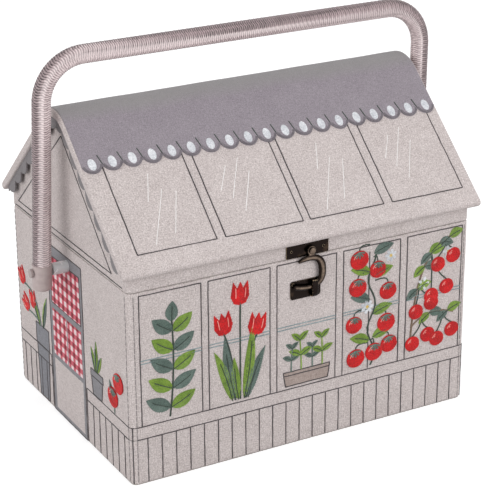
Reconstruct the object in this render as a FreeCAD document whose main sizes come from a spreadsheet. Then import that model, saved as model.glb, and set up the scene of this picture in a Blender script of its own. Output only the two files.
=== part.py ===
# Sewing box shaped like a small glasshouse: a cloth-covered board box with a pitched-roof lid,
# a wrapped bail handle, a swing-hook latch and a lift-out tray.
# Millimetres, +Z up, front towards -Y, origin at the middle of the underside.
import FreeCAD, Part
import math
import os
import re

import Sketcher

V = FreeCAD.Vector
doc = FreeCAD.newDocument("sewing_box")

# Counts
capping_scallops = 19
barge_scallops = 8
nut_sides = 6

# Driving sizes in millimetres, angles in degrees
sizes = {
    # body, over the cloth
    "body_width": 300,
    "body_depth": 216,
    "body_height": 155.5,
    "corner_radius": 5,
    "board": 5,
    "floor_board": 5,
    "cloth": 0.8,
    "cover_lift": 0.5,
    "lining": 0.8,
    "lining_drop": 4,
    # lid and roof
    "seam_gap": 0.5,
    "roof_angle": 42,
    "rail_height": 14.75,
    "ridge_radius": 30,
    "roof_board": 5,
    "eave_overhang": 7,
    "gable_overhang": 5.8,
    # scalloped capping over the ridge and bargeboards under the gable ends
    "capping": 0.7,
    "capping_inset": 1.3,
    "capping_drop": 61.5,
    "barge_board": 1.2,
    "barge_inset": 2,
    "barge_end_inset": 3,
    "barge_strip": 3.5,
    "scallop_share": 1.04,
    # handle
    "pivot_drop": 15.5,
    "spacer_length": 12.6,
    "hand_gap": 41.7,
    "bend_radius": 34,
    "splay_angle": 1.5,
    "lean_angle": 3,
    "wrap_radius": 7.2,
    "core_radius": 4.5,
    "wrap_gap": 0.1,
    "cap_radius": 7.8,
    "cap_rise": 6,
    "cap_drop": 15,
    "cap_floor": 3,
    "cap_round": 3,
    "cap_gap": 0.3,
    "spacer_radius": 4.8,
    "pivot_radius": 2,
    "pivot_head_radius": 3.4,
    "pivot_head": 1.8,
    "washer_radius": 5,
    "washer": 1,
    "nut_across": 7,
    "nut": 3.2,
    "screw_proud": 0.6,
    # latch
    "latch_width": 37,
    "latch_height": 11,
    "latch_rise": 0.6,
    "latch_metal": 0.9,
    "latch_round": 0.8,
    "pin_inset": 4.5,
    "pin_radius": 1.1,
    "pin_proud": 0.2,
    "pin_length": 4,
    "rivet_shift": 2.5,
    "rivet_rise": 5,
    "rivet_radius": 1.5,
    "rivet_head_radius": 2.8,
    "rivet_head": 1.2,
    "hook_gap": 0.5,
    "hook_metal": 1.8,
    "hook_band": 3.6,
    "hook_eye_radius": 3.9,
    "hook_neck": 5.6,
    "hook_top_drop": 6,
    "hook_arm_drop": 30,
    "hook_side": 9.7,
    "hook_bend": 6,
    "hook_tip_reach": 14.5,
    "hook_knee_reach": 3.5,
    "hook_tail_reach": 10,
    "hook_tail_drop": 8.4,
    "keeper_width": 26.5,
    "keeper_height": 14.8,
    "keeper_drop": 18.1,
    "keeper_shift": -1.5,
    "keeper_round": 2,
    "strap_shift": 5,
    "strap_width": 5,
    "strap_metal": 1.2,
    "strap_clear": 1.3,
    "strap_top_drop": 18.6,
    "strap_round": 1.6,
    # hinges
    "hinge_inset": 65,
    "hinge_width": 32,
    "hinge_leaf": 1,
    "hinge_leaf_reach": 12,
    "knuckle_radius": 2.3,
    "knuckle_length": 10.6,
    "knuckle_gap": 0.4,
    "hinge_pin_radius": 1.1,
    "leaf_screw_radius": 1,
    "leaf_screw_head_radius": 2,
    "leaf_screw_head": 0.5,
    "leaf_screw_length": 5,
    "leaf_screw_spread": 10,
    "leaf_screw_reach": 8,
    # tray and its ledges
    "tray_end_gap": 8.4,
    "tray_side_gap": 4.4,
    "tray_height": 30,
    "tray_wall": 2,
    "tray_rim": 2,
    "tray_rim_height": 2.5,
    "tray_corner": 8,
    "tray_seat_drop": 47.5,
    "divider": 1.8,
    "divider_drop": 3,
    "divider_spread": 44,
    "divider_shift": -20,
    "finger_radius": 12,
    "ledge_width": 16,
    "ledge_height": 8,
    "ledge_inset": 26.4,
    # fits
    "bore_fit": 0.2,
    "shaft_fit": 0.06,
    "overrun": 20,
}

# Sizes and places that follow from them
formulas = {
    "half_width": "body_width / 2",
    "half_depth": "body_depth / 2",
    "wall_half_width": "half_width - cloth",
    "wall_half_depth": "half_depth - cloth",
    "room_half_width": "wall_half_width - board",
    "room_half_depth": "wall_half_depth - board",
    "lined_half_width": "room_half_width - lining",
    "lined_half_depth": "room_half_depth - lining",
    "inner_corner": "min(corner_radius - cloth; board - 2 * shaft_fit)",
    "board_round": "inner_corner + shaft_fit",
    "lid_bottom": "body_height + seam_gap",
    "slab": "roof_board + 2 * cloth",
    "eave_reach": "half_depth + eave_overhang",
    "wall_rise": "half_depth * tan(roof_angle)",
    "ridge_centre": "lid_bottom + rail_height + wall_rise - (ridge_radius - slab) / cos(roof_angle)",
    "ridge_height": "ridge_centre + ridge_radius",
    "apex": "ridge_centre + ridge_radius / cos(roof_angle)",
    "roof_half": "half_width + gable_overhang",
    "sector_y": "(ridge_radius + overrun) * sin(roof_angle)",
    "sector_z": "ridge_centre + (ridge_radius + overrun) * cos(roof_angle)",
    "roof_mid_radius": "ridge_radius - slab / 2",
    "roof_mid_y": "roof_mid_radius * sin(roof_angle)",
    "roof_mid_z": "ridge_centre + roof_mid_radius * cos(roof_angle)",
    "roof_end_y": "eave_reach - slab / 2",
    "roof_end_z": "ridge_centre + roof_mid_radius / cos(roof_angle) - roof_end_y * tan(roof_angle)",
    "capping_mid_radius": "ridge_radius + capping / 2",
    "capping_mid_y": "capping_mid_radius * sin(roof_angle)",
    "capping_mid_z": "ridge_centre + capping_mid_radius * cos(roof_angle)",
    "capping_length": "2 * (roof_half - capping_inset)",
    "notch_y": "capping_drop * cos(roof_angle)",
    "notch_z": "apex - capping_drop * sin(roof_angle)",
    "capping_end_y": "notch_y + capping / 2 * sin(roof_angle)",
    "capping_end_z": "notch_z + capping / 2 * cos(roof_angle)",
    "barge_outer": "roof_half - barge_inset",
    "barge_reach": "half_depth - barge_end_inset",
    "pivot_height": "body_height - pivot_drop",
    "bar_rise": "ridge_height - pivot_height + hand_gap",
    "spacer_end": "half_width + spacer_length",
    "leg_half_span": "spacer_end + cap_gap + cap_radius",
    "leg_run": "(bar_rise - bend_radius + bend_radius * sin(splay_angle)) / cos(splay_angle)",
    "leg_top_x": "leg_half_span - leg_run * sin(splay_angle)",
    "leg_top_z": "leg_run * cos(splay_angle)",
    "bend_x": "leg_top_x - bend_radius * cos(splay_angle)",
    "bend_z": "bar_rise - bend_radius",
    "core_run": "cap_floor - cap_drop",
    "core_foot_x": "leg_half_span - core_run * sin(splay_angle)",
    "core_foot_z": "core_run * cos(splay_angle)",
    "wrap_foot_x": "leg_half_span - cap_rise * sin(splay_angle)",
    "wrap_foot_z": "cap_rise * cos(splay_angle)",
    "head_seat": "leg_half_span + cap_radius + cap_gap",
    "washer_face": "lined_half_width - washer",
    "nut_face": "washer_face - nut",
    "latch_face": "-half_depth - latch_metal",
    "hook_back": "latch_face - hook_gap",
    "hook_face": "hook_back - hook_metal",
    "rivet_z": "lid_bottom + rivet_rise",
    "latch_low": "lid_bottom + latch_rise",
    "hook_top_z": "rivet_z - hook_top_drop",
    "hook_arm_z": "rivet_z - hook_arm_drop",
    "hook_side_x": "rivet_shift + hook_side",
    "hook_bend_x": "hook_side_x - hook_bend",
    "hook_bend_high": "hook_top_z - hook_bend",
    "hook_bend_low": "hook_arm_z + hook_bend",
    "hook_tip_x": "rivet_shift - hook_tip_reach",
    "hook_knee_x": "rivet_shift - hook_knee_reach",
    "hook_tail_x": "rivet_shift - hook_tail_reach",
    "hook_tail_z": "rivet_z - hook_tail_drop",
    "keeper_top": "body_height - keeper_drop",
    "keeper_low": "keeper_top - keeper_height",
    "strap_inner": "hook_face - strap_clear",
    "strap_outer": "strap_inner - strap_metal",
    "strap_floor": "keeper_low + strap_metal",
    "strap_top": "body_height - strap_top_drop",
    "hinge_spread": "half_width - hinge_inset",
    "hinge_y": "half_depth + knuckle_gap + knuckle_radius",
    "hinge_z": "body_height + seam_gap / 2",
    "leaf_notch": "knuckle_radius + knuckle_gap",
    "latch_half_width": "latch_width / 2",
    "latch_top": "latch_low + latch_height",
    "keeper_left": "keeper_shift - keeper_width / 2",
    "keeper_right": "keeper_shift + keeper_width / 2",
    "tray_seat": "body_height - tray_seat_drop",
    "ledge_half_length": "lined_half_depth - ledge_inset",
    "tray_half_width": "lined_half_width - tray_end_gap",
    "tray_half_depth": "lined_half_depth - tray_side_gap",
    "tray_room_half_width": "tray_half_width - tray_wall",
    "tray_room_half_depth": "tray_half_depth - tray_wall",
    "tray_room_corner": "tray_corner - tray_wall",
    "tray_rim_half_width": "tray_half_width + tray_rim",
    "tray_rim_half_depth": "tray_half_depth + tray_rim",
    "tray_rim_corner": "tray_corner + tray_rim",
    "tray_top": "tray_seat + tray_height",
    "tray_floor": "tray_seat + tray_wall",
}

# Depths below the roof's outer face at which the lid's inner pieces stop
roof_depths = {
    "slab": "slab",
    "boards": "cloth + roof_board",
    "lined": "cloth + roof_board + lining",
    "strip": "slab + barge_strip",
}
for layer, depth in roof_depths.items():
    formulas[f"{layer}_radius"] = f"ridge_radius - ({depth})"
    formulas[f"{layer}_bend_y"] = f"{layer}_radius * sin(roof_angle)"
    formulas[f"{layer}_bend_z"] = f"ridge_centre + {layer}_radius * cos(roof_angle)"
    formulas[f"{layer}_peak"] = f"ridge_centre + {layer}_radius / cos(roof_angle)"
    formulas[f"{layer}_side_z"] = f"{layer}_peak - wall_rise"

sheet = doc.addObject("Spreadsheet::Sheet", "Sizes")
for row, (name, number) in enumerate(sizes.items(), 1):
    sheet.set(f"A{row}", name)
    sheet.set(f"B{row}", str(number))
    sheet.setAlias(f"B{row}", name)
for row, (name, formula) in enumerate(formulas.items(), 1):
    sheet.set(f"D{row}", name)
    sheet.set(f"E{row}", "=" + formula)
    sheet.setAlias(f"E{row}", name)
doc.recompute()

names = set(sizes) | set(formulas)
pieces = []


def value(text):
    # the sheet's number under a name, or under a name with a minus sign
    if text.startswith("-"):
        return -value(text[1:])
    return float(getattr(sheet, text)) if text in names else float(text)


def link(text):
    # an expression in the sheet's names
    def named(match):
        word = match.group()
        return "Sizes." + word if word in names else word

    return re.sub(r"[a-z][a-z_]+", named, text)


def bind(piece, links):
    for prop, text in links.items():
        piece.setExpression(prop, link(text))
    return piece


def keep(piece, label):
    # a finished sub-part, written to its own file
    piece.Label = label
    pieces.append(piece)
    return piece


def place(piece, x="0", y="0", z="0"):
    return bind(piece, {"Placement.Base.x": x, "Placement.Base.y": y, "Placement.Base.z": z})


def block(name, x, y, z):
    # a box between low and high places along each axis
    piece = doc.addObject("Part::Box", name)
    for prop, (low, high) in zip(("Length", "Width", "Height"), (x, y, z)):
        bind(piece, {prop: f"({high}) - ({low})"})
    return place(piece, x[0], y[0], z[0])


axis_turns = {
    "x": FreeCAD.Rotation(V(0, 1, 0), 90),
    "y": FreeCAD.Rotation(V(1, 0, 0), -90),
    "z": FreeCAD.Rotation(),
}


def rod(name, axis, radius, low, high, first, second):
    # a cylinder along an axis from low to high, at its places on the two other axes
    piece = doc.addObject("Part::Cylinder", name)
    piece.Placement = FreeCAD.Placement(V(), axis_turns[axis])
    bind(piece, {"Radius": radius, "Height": f"({high}) - ({low})"})
    spots = {"x": (low, first, second), "y": (first, low, second), "z": (first, second, low)}
    return place(piece, *spots[axis])


def group(name, members):
    piece = doc.addObject("Part::Compound", name)
    piece.Links = members
    return piece


def fuse(name, members):
    piece = doc.addObject("Part::MultiFuse", name)
    piece.Shapes = members
    return piece


def cut(name, base, *tools):
    piece = doc.addObject("Part::Cut", name)
    piece.Base = base
    piece.Tool = tools[0] if len(tools) == 1 else fuse(name + "_tools", list(tools))
    return piece


def common(name, base, tool):
    piece = doc.addObject("Part::Common", name)
    piece.Base = base
    piece.Tool = tool
    return piece


def draw(sketch, points, bends={}, closed=True):
    # lines through named points; a bend is an arc from its point to the next, with radius and centre
    spots = [V(value(u), value(v), 0) for u, v in points]
    count = len(points) if closed else len(points) - 1
    ends = []
    for i in range(count):
        start, stop = spots[i], spots[(i + 1) % len(spots)]
        forward = True
        if i in bends:
            radius, u, v = bends[i]
            centre = V(value(u), value(v), 0)
            forward = (start - centre).cross(stop - centre).z > 0
            pair = (start, stop) if forward else (stop, start)
            angles = [math.atan2(p.y - centre.y, p.x - centre.x) for p in pair]
            circle = Part.Circle(centre, V(0, 0, 1), value(radius))
            sketch.addGeometry(Part.ArcOfCircle(circle, *angles))
        else:
            sketch.addGeometry(Part.LineSegment(start, stop))
        ends.append((1, 2) if forward else (2, 1))
    for i in range(count if closed else count - 1):
        following = (i + 1) % count
        sketch.addConstraint(Sketcher.Constraint("Coincident", i, ends[i][1], following, ends[following][0]))
    holds = [(i, ends[i][0], points[i]) for i in range(count)]
    if not closed:
        holds.append((count - 1, ends[-1][1], points[-1]))
    for line, end, spot in holds:
        for kind, text in zip(("DistanceX", "DistanceY"), spot):
            index = sketch.addConstraint(Sketcher.Constraint(kind, -1, 1, line, end, value(text)))
            sketch.setExpression(f"Constraints[{index}]", link(text))
    for line, (radius, u, v) in bends.items():
        index = sketch.addConstraint(Sketcher.Constraint("Radius", line, value(radius)))
        sketch.setExpression(f"Constraints[{index}]", link(radius))


def prism(name, role, points, low, high, bends={}):
    # a profile on one of the body's own planes, padded from low to high along the plane's normal
    body = doc.addObject("PartDesign::Body", name)
    sketch = body.newObject("Sketcher::SketchObject", name + "_profile")
    sketch.AttachmentSupport = ([o for o in body.Origin.OriginFeatures if o.Role == role][0], [""])
    sketch.MapMode = "FlatFace"
    sketch.setExpression("AttachmentOffset.Base.z", link(low))
    draw(sketch, points, bends)
    pad = body.newObject("PartDesign::Pad", name + "_pad")
    pad.Profile = sketch
    bind(pad, {"Length": f"({high}) - ({low})"})
    return body


def soften(body, radius, pick):
    # round the edges of a body that the test picks
    doc.recompute()
    base = body.Tip
    edges = [f"Edge{i}" for i, edge in enumerate(base.Shape.Edges, 1) if pick(edge)]
    fillet = body.newObject("PartDesign::Fillet", f"{body.Name}_round")
    fillet.Base = (base, edges)
    return bind(fillet, {"Radius": radius})


def along(edge, axis):
    return abs(edge.tangentAt(edge.FirstParameter).dot(axis)) > 0.99


def upright(edge):
    return along(edge, V(0, 0, 1))


def rounded_block(name, half_x, half_y, z, radius):
    corners = [(f"-{half_x}", f"-{half_y}"), (half_x, f"-{half_y}"),
               (half_x, half_y), (f"-{half_x}", half_y)]
    body = prism(name, "XY_Plane", corners, *z)
    soften(body, radius, upright)
    return body


# Sketch planes for centre lines: the gable plane (y, z) and the front plane (x, z)
gable_plane = FreeCAD.Placement(V(), FreeCAD.Rotation(V(1, 1, 1), 120))
front_plane = FreeCAD.Placement(V(), FreeCAD.Rotation(V(1, 0, 0), 90))


def centre_line(name, plane, points, bends):
    sketch = doc.addObject("Sketcher::SketchObject", name)
    sketch.Placement = plane
    draw(sketch, points, bends, closed=False)
    return sketch


def band(name, line, half_thick, direction, length):
    # a strip of even thickness about a centre line, with round ends, extruded both ways
    edge = doc.addObject("Part::Offset2D", name + "_edge")
    edge.Source = line
    edge.Mode = "Pipe"
    edge.Fill = False
    bind(edge, {"Value": half_thick})
    strip = doc.addObject("Part::Extrusion", name)
    strip.Base = edge
    strip.DirMode = "Custom"
    strip.Dir = direction
    strip.Symmetric = True
    strip.Solid = True
    return bind(strip, {"LengthFwd": length})


# Bores shared by the pieces that the pivot screws, pins and hinge screws pass through
pivot_bore = rod("pivot_bore", "x", "pivot_radius + bore_fit", "-half_width - overrun",
                 "half_width + overrun", "0", "pivot_height")


def front_fastener(name, x, z, radius, head, face, proud, length):
    # a pin driven in from the front: a head on the plate and a shank into the board
    pin_head = rod(name + "_head", "y", head, f"{face} - {proud}", face, x, z)
    shank = rod(name + "_shank", "y", radius, face, f"{face} + {length}", x, z)
    return fuse(name, [pin_head, shank])


def front_bore(name, x, z, radius):
    return rod(name, "y", f"{radius} + bore_fit", "-half_depth - overrun", "-room_half_depth", x, z)


pin_shank = "pin_radius / 2"
latch_pin_x = "latch_width / 2 - pin_inset"
latch_pin_z = "latch_low + latch_height / 2"
keeper_pin_x = "keeper_width / 2 - pin_inset / 2"
keeper_pin_z = "keeper_top - pin_inset / 2"
latch_pin_places = [(f"-({latch_pin_x})", latch_pin_z), (latch_pin_x, latch_pin_z)]
keeper_pin_places = [(f"keeper_shift - ({keeper_pin_x})", keeper_pin_z),
                     (f"keeper_shift + {keeper_pin_x}", keeper_pin_z)]
latch_pin_bores = [front_bore(f"latch_pin_bore_{i}", x, z, pin_shank)
                   for i, (x, z) in enumerate(latch_pin_places)]
keeper_pin_bores = [front_bore(f"keeper_pin_bore_{i}", x, z, pin_shank)
                    for i, (x, z) in enumerate(keeper_pin_places)]
rivet_bore = rod("rivet_bore", "y", "rivet_radius + bore_fit", "-half_depth - overrun", "-room_half_depth",
                 "rivet_shift", "rivet_z")

hinge_sides = {"left": "-hinge_spread", "right": "hinge_spread"}
leaf_screw_places = {
    part: [(f"{x} + {sign} * leaf_screw_spread", f"hinge_z {up} leaf_screw_reach")
           for x in hinge_sides.values() for sign in (-1, 1)]
    for part, up in (("body", "-"), ("lid", "+"))
}
leaf_screw_bores = {
    part: [rod(f"{part}_leaf_bore_{i}", "y", "leaf_screw_radius + bore_fit", "room_half_depth",
               "half_depth + overrun", x, z) for i, (x, z) in enumerate(places)]
    for part, places in leaf_screw_places.items()
}

# Body boards: front and back run the full width, the sides fit between them
x_wall = ("-wall_half_width", "wall_half_width")
z_wall = ("0", "body_height")


def long_wall(name, low, high, outer):
    corners = [(x_wall[0], low), (x_wall[1], low), (x_wall[1], high), (x_wall[0], high)]
    body = prism(name, "XY_Plane", corners, *z_wall)
    soften(body, "board_round", lambda edge: upright(edge) and outer(edge.CenterOfMass.y))
    return body


middle_y = value("wall_half_depth") - value("board") / 2
front_blank = long_wall("front_wall_blank", "-wall_half_depth", "-room_half_depth", lambda y: y < -middle_y)
back_blank = long_wall("back_wall_blank", "room_half_depth", "wall_half_depth", lambda y: y > middle_y)
keep(cut("front_wall_drilled", front_blank, *keeper_pin_bores), "front_wall")
keep(cut("back_wall_drilled", back_blank, *leaf_screw_bores["body"]), "back_wall")
y_room = ("-room_half_depth", "room_half_depth")
for side, span in (("left", ("-wall_half_width", "-room_half_width")),
                   ("right", ("room_half_width", "wall_half_width"))):
    blank = block(side + "_wall_blank", span, y_room, z_wall)
    keep(cut(side + "_wall_drilled", blank, pivot_bore), side + "_wall")
x_room = ("-room_half_width", "room_half_width")
keep(block("base_blank", x_room, y_room, ("0", "floor_board")), "base_board")

# Printed cloth sleeve round the body, and the lining inside it
sleeve = rounded_block("cover_outside", "half_width", "half_depth", ("cover_lift", "body_height"),
                       "corner_radius")
hollow = rounded_block("cover_inside", "wall_half_width", "wall_half_depth",
                       ("cover_lift - overrun", "body_height + overrun"), "inner_corner")
cover_bores = [pivot_bore, *keeper_pin_bores, *leaf_screw_bores["body"]]
keep(cut("body_cover_sleeve", sleeve, hollow, *cover_bores), "body_cover")
lining_box = block("lining_outside", x_room, y_room, ("floor_board", "body_height - lining_drop"))
lining_room = block("lining_inside", ("-lined_half_width", "lined_half_width"),
                    ("-lined_half_depth", "lined_half_depth"), ("floor_board + lining", "body_height"))
keep(cut("lining_sleeve", lining_box, lining_room, pivot_bore), "body_lining")

# Ledges that carry the tray
y_ledge = ("-ledge_half_length", "ledge_half_length")
z_ledge = ("tray_seat - ledge_height", "tray_seat")
for side, span in (("left", ("-lined_half_width", "ledge_width - lined_half_width")),
                   ("right", ("lined_half_width - ledge_width", "lined_half_width"))):
    keep(block(side + "_ledge", span, y_ledge, z_ledge), side + "_tray_ledge")


# Roof: regions under a layer of the roof, and bands about the roof's middle line
def under_roof(layer):
    bend = [f"{layer}_bend_y", f"{layer}_bend_z"]
    side = f"{layer}_side_z"
    points = [("-half_depth", "lid_bottom"), ("half_depth", "lid_bottom"), ("half_depth", side),
              tuple(bend), ("-" + bend[0], bend[1]), ("-half_depth", side)]
    arc = {3: (f"{layer}_radius", "0", "ridge_centre")}
    return prism(f"under_{layer}", "YZ_Plane", points, "-roof_half", "roof_half", arc)


def roof_line(name, part):
    # eave, front slope, rounded ridge, back slope, eave
    end, bend = (f"{part}_end_y", f"{part}_end_z"), (f"{part}_mid_y", f"{part}_mid_z")
    points = [("-" + end[0], end[1]), ("-" + bend[0], bend[1]), bend, end]
    return centre_line(name, gable_plane, points, {1: (f"{part}_mid_radius", "0", "ridge_centre")})


under = {layer: under_roof(layer) for layer in roof_depths}
middle_line = roof_line("roof_middle_line", "roof")
roof_boards = band("roof_boards", middle_line, "roof_board / 2", V(1, 0, 0), "2 * (roof_half - cloth)")
roof_slab = band("roof_slab", middle_line, "slab / 2", V(1, 0, 0), "2 * roof_half")
sector_corners = [("0", "ridge_centre"), ("sector_y", "sector_z"), ("-sector_y", "sector_z")]
sector = prism("ridge_sector", "YZ_Plane", sector_corners, "-roof_half", "roof_half")
keep(common("ridge_arch", roof_boards, sector), "ridge_strip")
slopes = cut("roof_slopes", roof_boards, sector)
x_roof = ("-roof_half", "roof_half")
z_roof = ("lid_bottom", "apex")
front_half = block("front_half", x_roof, ("-eave_reach", "0"), z_roof)
back_half = block("back_half", x_roof, ("0", "eave_reach"), z_roof)
keep(common("front_slope", slopes, front_half), "front_roof_panel")
keep(common("back_slope", slopes, back_half), "back_roof_panel")

cavity = block("lid_cavity", x_room, y_room, z_roof)
lined_cavity = common("lined_cavity", under["boards"], cavity)
keep(cut("roof_wrapping", roof_slab, roof_boards, lined_cavity), "roof_cover")
keep(cut("roof_lining", lined_cavity, under["lined"]), "lid_lining")

# Lid walls: gables run the full depth, the rails fit between them
middle_x = value("wall_half_width") - value("board") / 2
for side, span, outer in (("left", ("-wall_half_width", "-room_half_width"), lambda x: x < -middle_x),
                          ("right", ("room_half_width", "wall_half_width"), lambda x: x > middle_x)):
    corners = [(span[0], "-wall_half_depth"), (span[1], "-wall_half_depth"),
               (span[1], "wall_half_depth"), (span[0], "wall_half_depth")]
    blank = prism(side + "_gable_blank", "XY_Plane", corners, *z_roof)
    soften(blank, "board_round", lambda edge: upright(edge) and outer(edge.CenterOfMass.x))
    keep(common(side + "_gable_board", blank, under["slab"]), side + "_gable")
rails = {
    "front": (("-wall_half_depth", "-room_half_depth"), latch_pin_bores + [rivet_bore]),
    "back": (("room_half_depth", "wall_half_depth"), leaf_screw_bores["lid"]),
}
for side, (span, bores) in rails.items():
    blank = common(side + "_rail_blank", block(side + "_rail_bar", x_room, span, z_roof), under["slab"])
    keep(cut(side + "_rail", blank, *bores), f"lid_{side}_rail")
lid_sleeve = rounded_block("lid_outside", "half_width", "half_depth", z_roof, "corner_radius")
lid_hollow = rounded_block("lid_inside", "wall_half_width", "wall_half_depth",
                           ("lid_bottom - overrun", "apex + overrun"), "inner_corner")
lid_tube = cut("lid_tube", lid_sleeve, lid_hollow, rivet_bore, *latch_pin_bores, *leaf_screw_bores["lid"])
keep(common("lid_wrapping", lid_tube, under["slab"]), "lid_cover")

# Scalloped capping over the ridge
capping_line = roof_line("capping_middle_line", "capping")
capping_sheet = band("capping_sheet", capping_line, "capping / 2", V(1, 0, 0), "capping_length")
capping_radius = f"scallop_share * capping_length / {2 * capping_scallops}"
scallops = []
for side, tilt in (("-", 1), ("", -1)):
    for i in range(capping_scallops):
        disc = doc.addObject("Part::Cylinder", "capping_scallop")
        disc.Placement = FreeCAD.Placement(V(), FreeCAD.Rotation(V(tilt, 0, 0), value("roof_angle")))
        bind(disc, {"Radius": capping_radius, "Height": "capping"})
        bind(disc, {"Placement.Rotation.Angle": "roof_angle"})
        spot = f"capping_length * {(i + 0.5) / capping_scallops - 0.5}"
        scallops.append(place(disc, spot, side + "notch_y", "notch_z"))
keep(fuse("scalloped_capping", [capping_sheet] + scallops), "ridge_capping")

# Scalloped bargeboards under the overhang of the gable ends
barge_radius = f"scallop_share * barge_reach / cos(roof_angle) / {2 * barge_scallops}"
for side, span in (("left", ("-barge_outer", "barge_board - barge_outer")),
                   ("right", ("barge_outer - barge_board", "barge_outer"))):
    strip = cut(side + "_barge_chevron", under["slab"], under["strip"])
    window = block(side + "_barge_window", span, ("-barge_reach", "barge_reach"), z_roof)
    lobes = [common(side + "_barge_strip", strip, window)]
    for sign in ("-", ""):
        for i in range(barge_scallops):
            across = f"barge_reach * {(i + 0.5) / barge_scallops}"
            lobes.append(rod(side + "_barge_lobe", "x", barge_radius, *span, sign + across,
                             f"slab_peak - {across} * tan(roof_angle)"))
    whole = fuse(side + "_barge_lobes", lobes)
    keep(common(side + "_barge_trim", whole, under["slab"]), side + "_bargeboard")

# Hinges: leaves on the back of the body and of the lid, knuckles in turn on one pin
hinge_pins = []
for side, x in hinge_sides.items():
    inner = (f"{x} - knuckle_length / 2", f"{x} + knuckle_length / 2")
    outer = [(f"{x} - hinge_width / 2", f"{inner[0]} - knuckle_gap"),
             (f"{inner[1]} + knuckle_gap", f"{x} + hinge_width / 2")]
    x_leaf = (outer[0][0], outer[1][1])
    y_leaf = ("half_depth", "half_depth + hinge_leaf")
    bore = rod(side + "_knuckle_bore", "x", "hinge_pin_radius + shaft_fit", f"{x_leaf[0]} - overrun",
               f"{x_leaf[1]} + overrun", "hinge_y", "hinge_z")

    def knuckle(name, span):
        return rod(name, "x", "knuckle_radius", *span, "hinge_y", "hinge_z")

    def web(name, span, z):
        return block(name, span, y_leaf, z)

    z_leaf = {"body": ("hinge_z - hinge_leaf_reach", "hinge_z - leaf_notch"),
              "lid": ("hinge_z + leaf_notch", "hinge_z + hinge_leaf_reach")}
    body_leaf = [block(side + "_body_leaf_plate", x_leaf, y_leaf, z_leaf["body"])]
    for i, span in enumerate(outer):
        body_leaf.append(knuckle(f"{side}_body_knuckle_{i}", span))
        body_leaf.append(web(f"{side}_body_web_{i}", span, ("hinge_z - leaf_notch", "hinge_z - knuckle_gap")))
    lid_leaf = [block(side + "_lid_leaf_plate", x_leaf, y_leaf, z_leaf["lid"]),
                knuckle(side + "_lid_knuckle", inner),
                web(side + "_lid_web", inner, ("hinge_z + knuckle_gap", "hinge_z + leaf_notch"))]
    for part, leaf in (("body", body_leaf), ("lid", lid_leaf)):
        whole = fuse(f"{side}_{part}_leaf_whole", leaf)
        keep(cut(f"{side}_{part}_leaf", whole, bore, *leaf_screw_bores[part]), f"{side}_hinge_{part}_leaf")
    hinge_pins.append(rod(side + "_hinge_rod", "x", "hinge_pin_radius", *x_leaf, "hinge_y", "hinge_z"))
keep(group("hinge_rods", hinge_pins), "hinge_pins")
for part, places in leaf_screw_places.items():
    screws = []
    for i, (x, z) in enumerate(places):
        face = "half_depth + hinge_leaf"
        head = rod(f"{part}_leaf_screw_head_{i}", "y", "leaf_screw_head_radius", face,
                   f"{face} + leaf_screw_head", x, z)
        shank = rod(f"{part}_leaf_screw_shank_{i}", "y", "leaf_screw_radius",
                    f"{face} - leaf_screw_length", face, x, z)
        screws.append(fuse(f"{part}_leaf_screw_{i}", [head, shank]))
    keep(group(part + "_leaf_screw_set", screws), part + "_leaf_screws")


# Latch: a plate with its rivet and hook on the lid, a plate with a strap on the body
def metal_plate(name, x, z, radius):
    corners = [(x[0], z[0]), (x[1], z[0]), (x[1], z[1]), (x[0], z[1])]
    body = prism(name, "XZ_Plane", corners, "half_depth", "half_depth + latch_metal")
    soften(body, radius, lambda edge: along(edge, V(0, 1, 0)))
    return body


latch_blank = metal_plate("latch_plate_blank", ("-latch_half_width", "latch_half_width"),
                          ("latch_low", "latch_top"), "latch_round")
keep(cut("latch_plate_drilled", latch_blank, rivet_bore, *latch_pin_bores), "latch_plate")
keeper_blank = metal_plate("keeper_plate_blank", ("keeper_left", "keeper_right"),
                           ("keeper_low", "keeper_top"), "keeper_round")
keep(cut("keeper_plate_drilled", keeper_blank, *keeper_pin_bores), "keeper_plate")
strap = prism("strap_bar", "YZ_Plane",
              [("latch_face", "keeper_low"), ("latch_face", "strap_floor"), ("strap_inner", "strap_floor"),
               ("strap_inner", "strap_top"), ("strap_outer", "strap_top"), ("strap_outer", "keeper_low")],
              "strap_shift - strap_width / 2", "strap_shift + strap_width / 2")


def strap_corner(edge):
    # the strap's outer bottom edge
    middle = edge.CenterOfMass
    return along(edge, V(1, 0, 0)) and middle.y < value("strap_inner") and middle.z < value("strap_floor")


soften(strap, "strap_round", strap_corner)
keep(strap, "keeper_strap")
for label, places in (("latch_pins", latch_pin_places), ("keeper_pins", keeper_pin_places)):
    pins = [front_fastener(f"{label}_{i}", x, z, pin_shank, "pin_radius", "latch_face", "pin_proud",
                           "pin_length") for i, (x, z) in enumerate(places)]
    keep(group(label + "_set", pins), label)

rivet_seat = "hook_face - pin_proud"
rivet_bottom = rod("rivet_shank", "y", "rivet_radius", rivet_seat, "-wall_half_depth",
                   "rivet_shift", "rivet_z")
rivet_top = rod("rivet_top", "y", "rivet_head_radius", f"{rivet_seat} - rivet_head", rivet_seat,
                "rivet_shift", "rivet_z")
keep(fuse("rivet", [rivet_bottom, rivet_top]), "latch_rivet")

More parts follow.
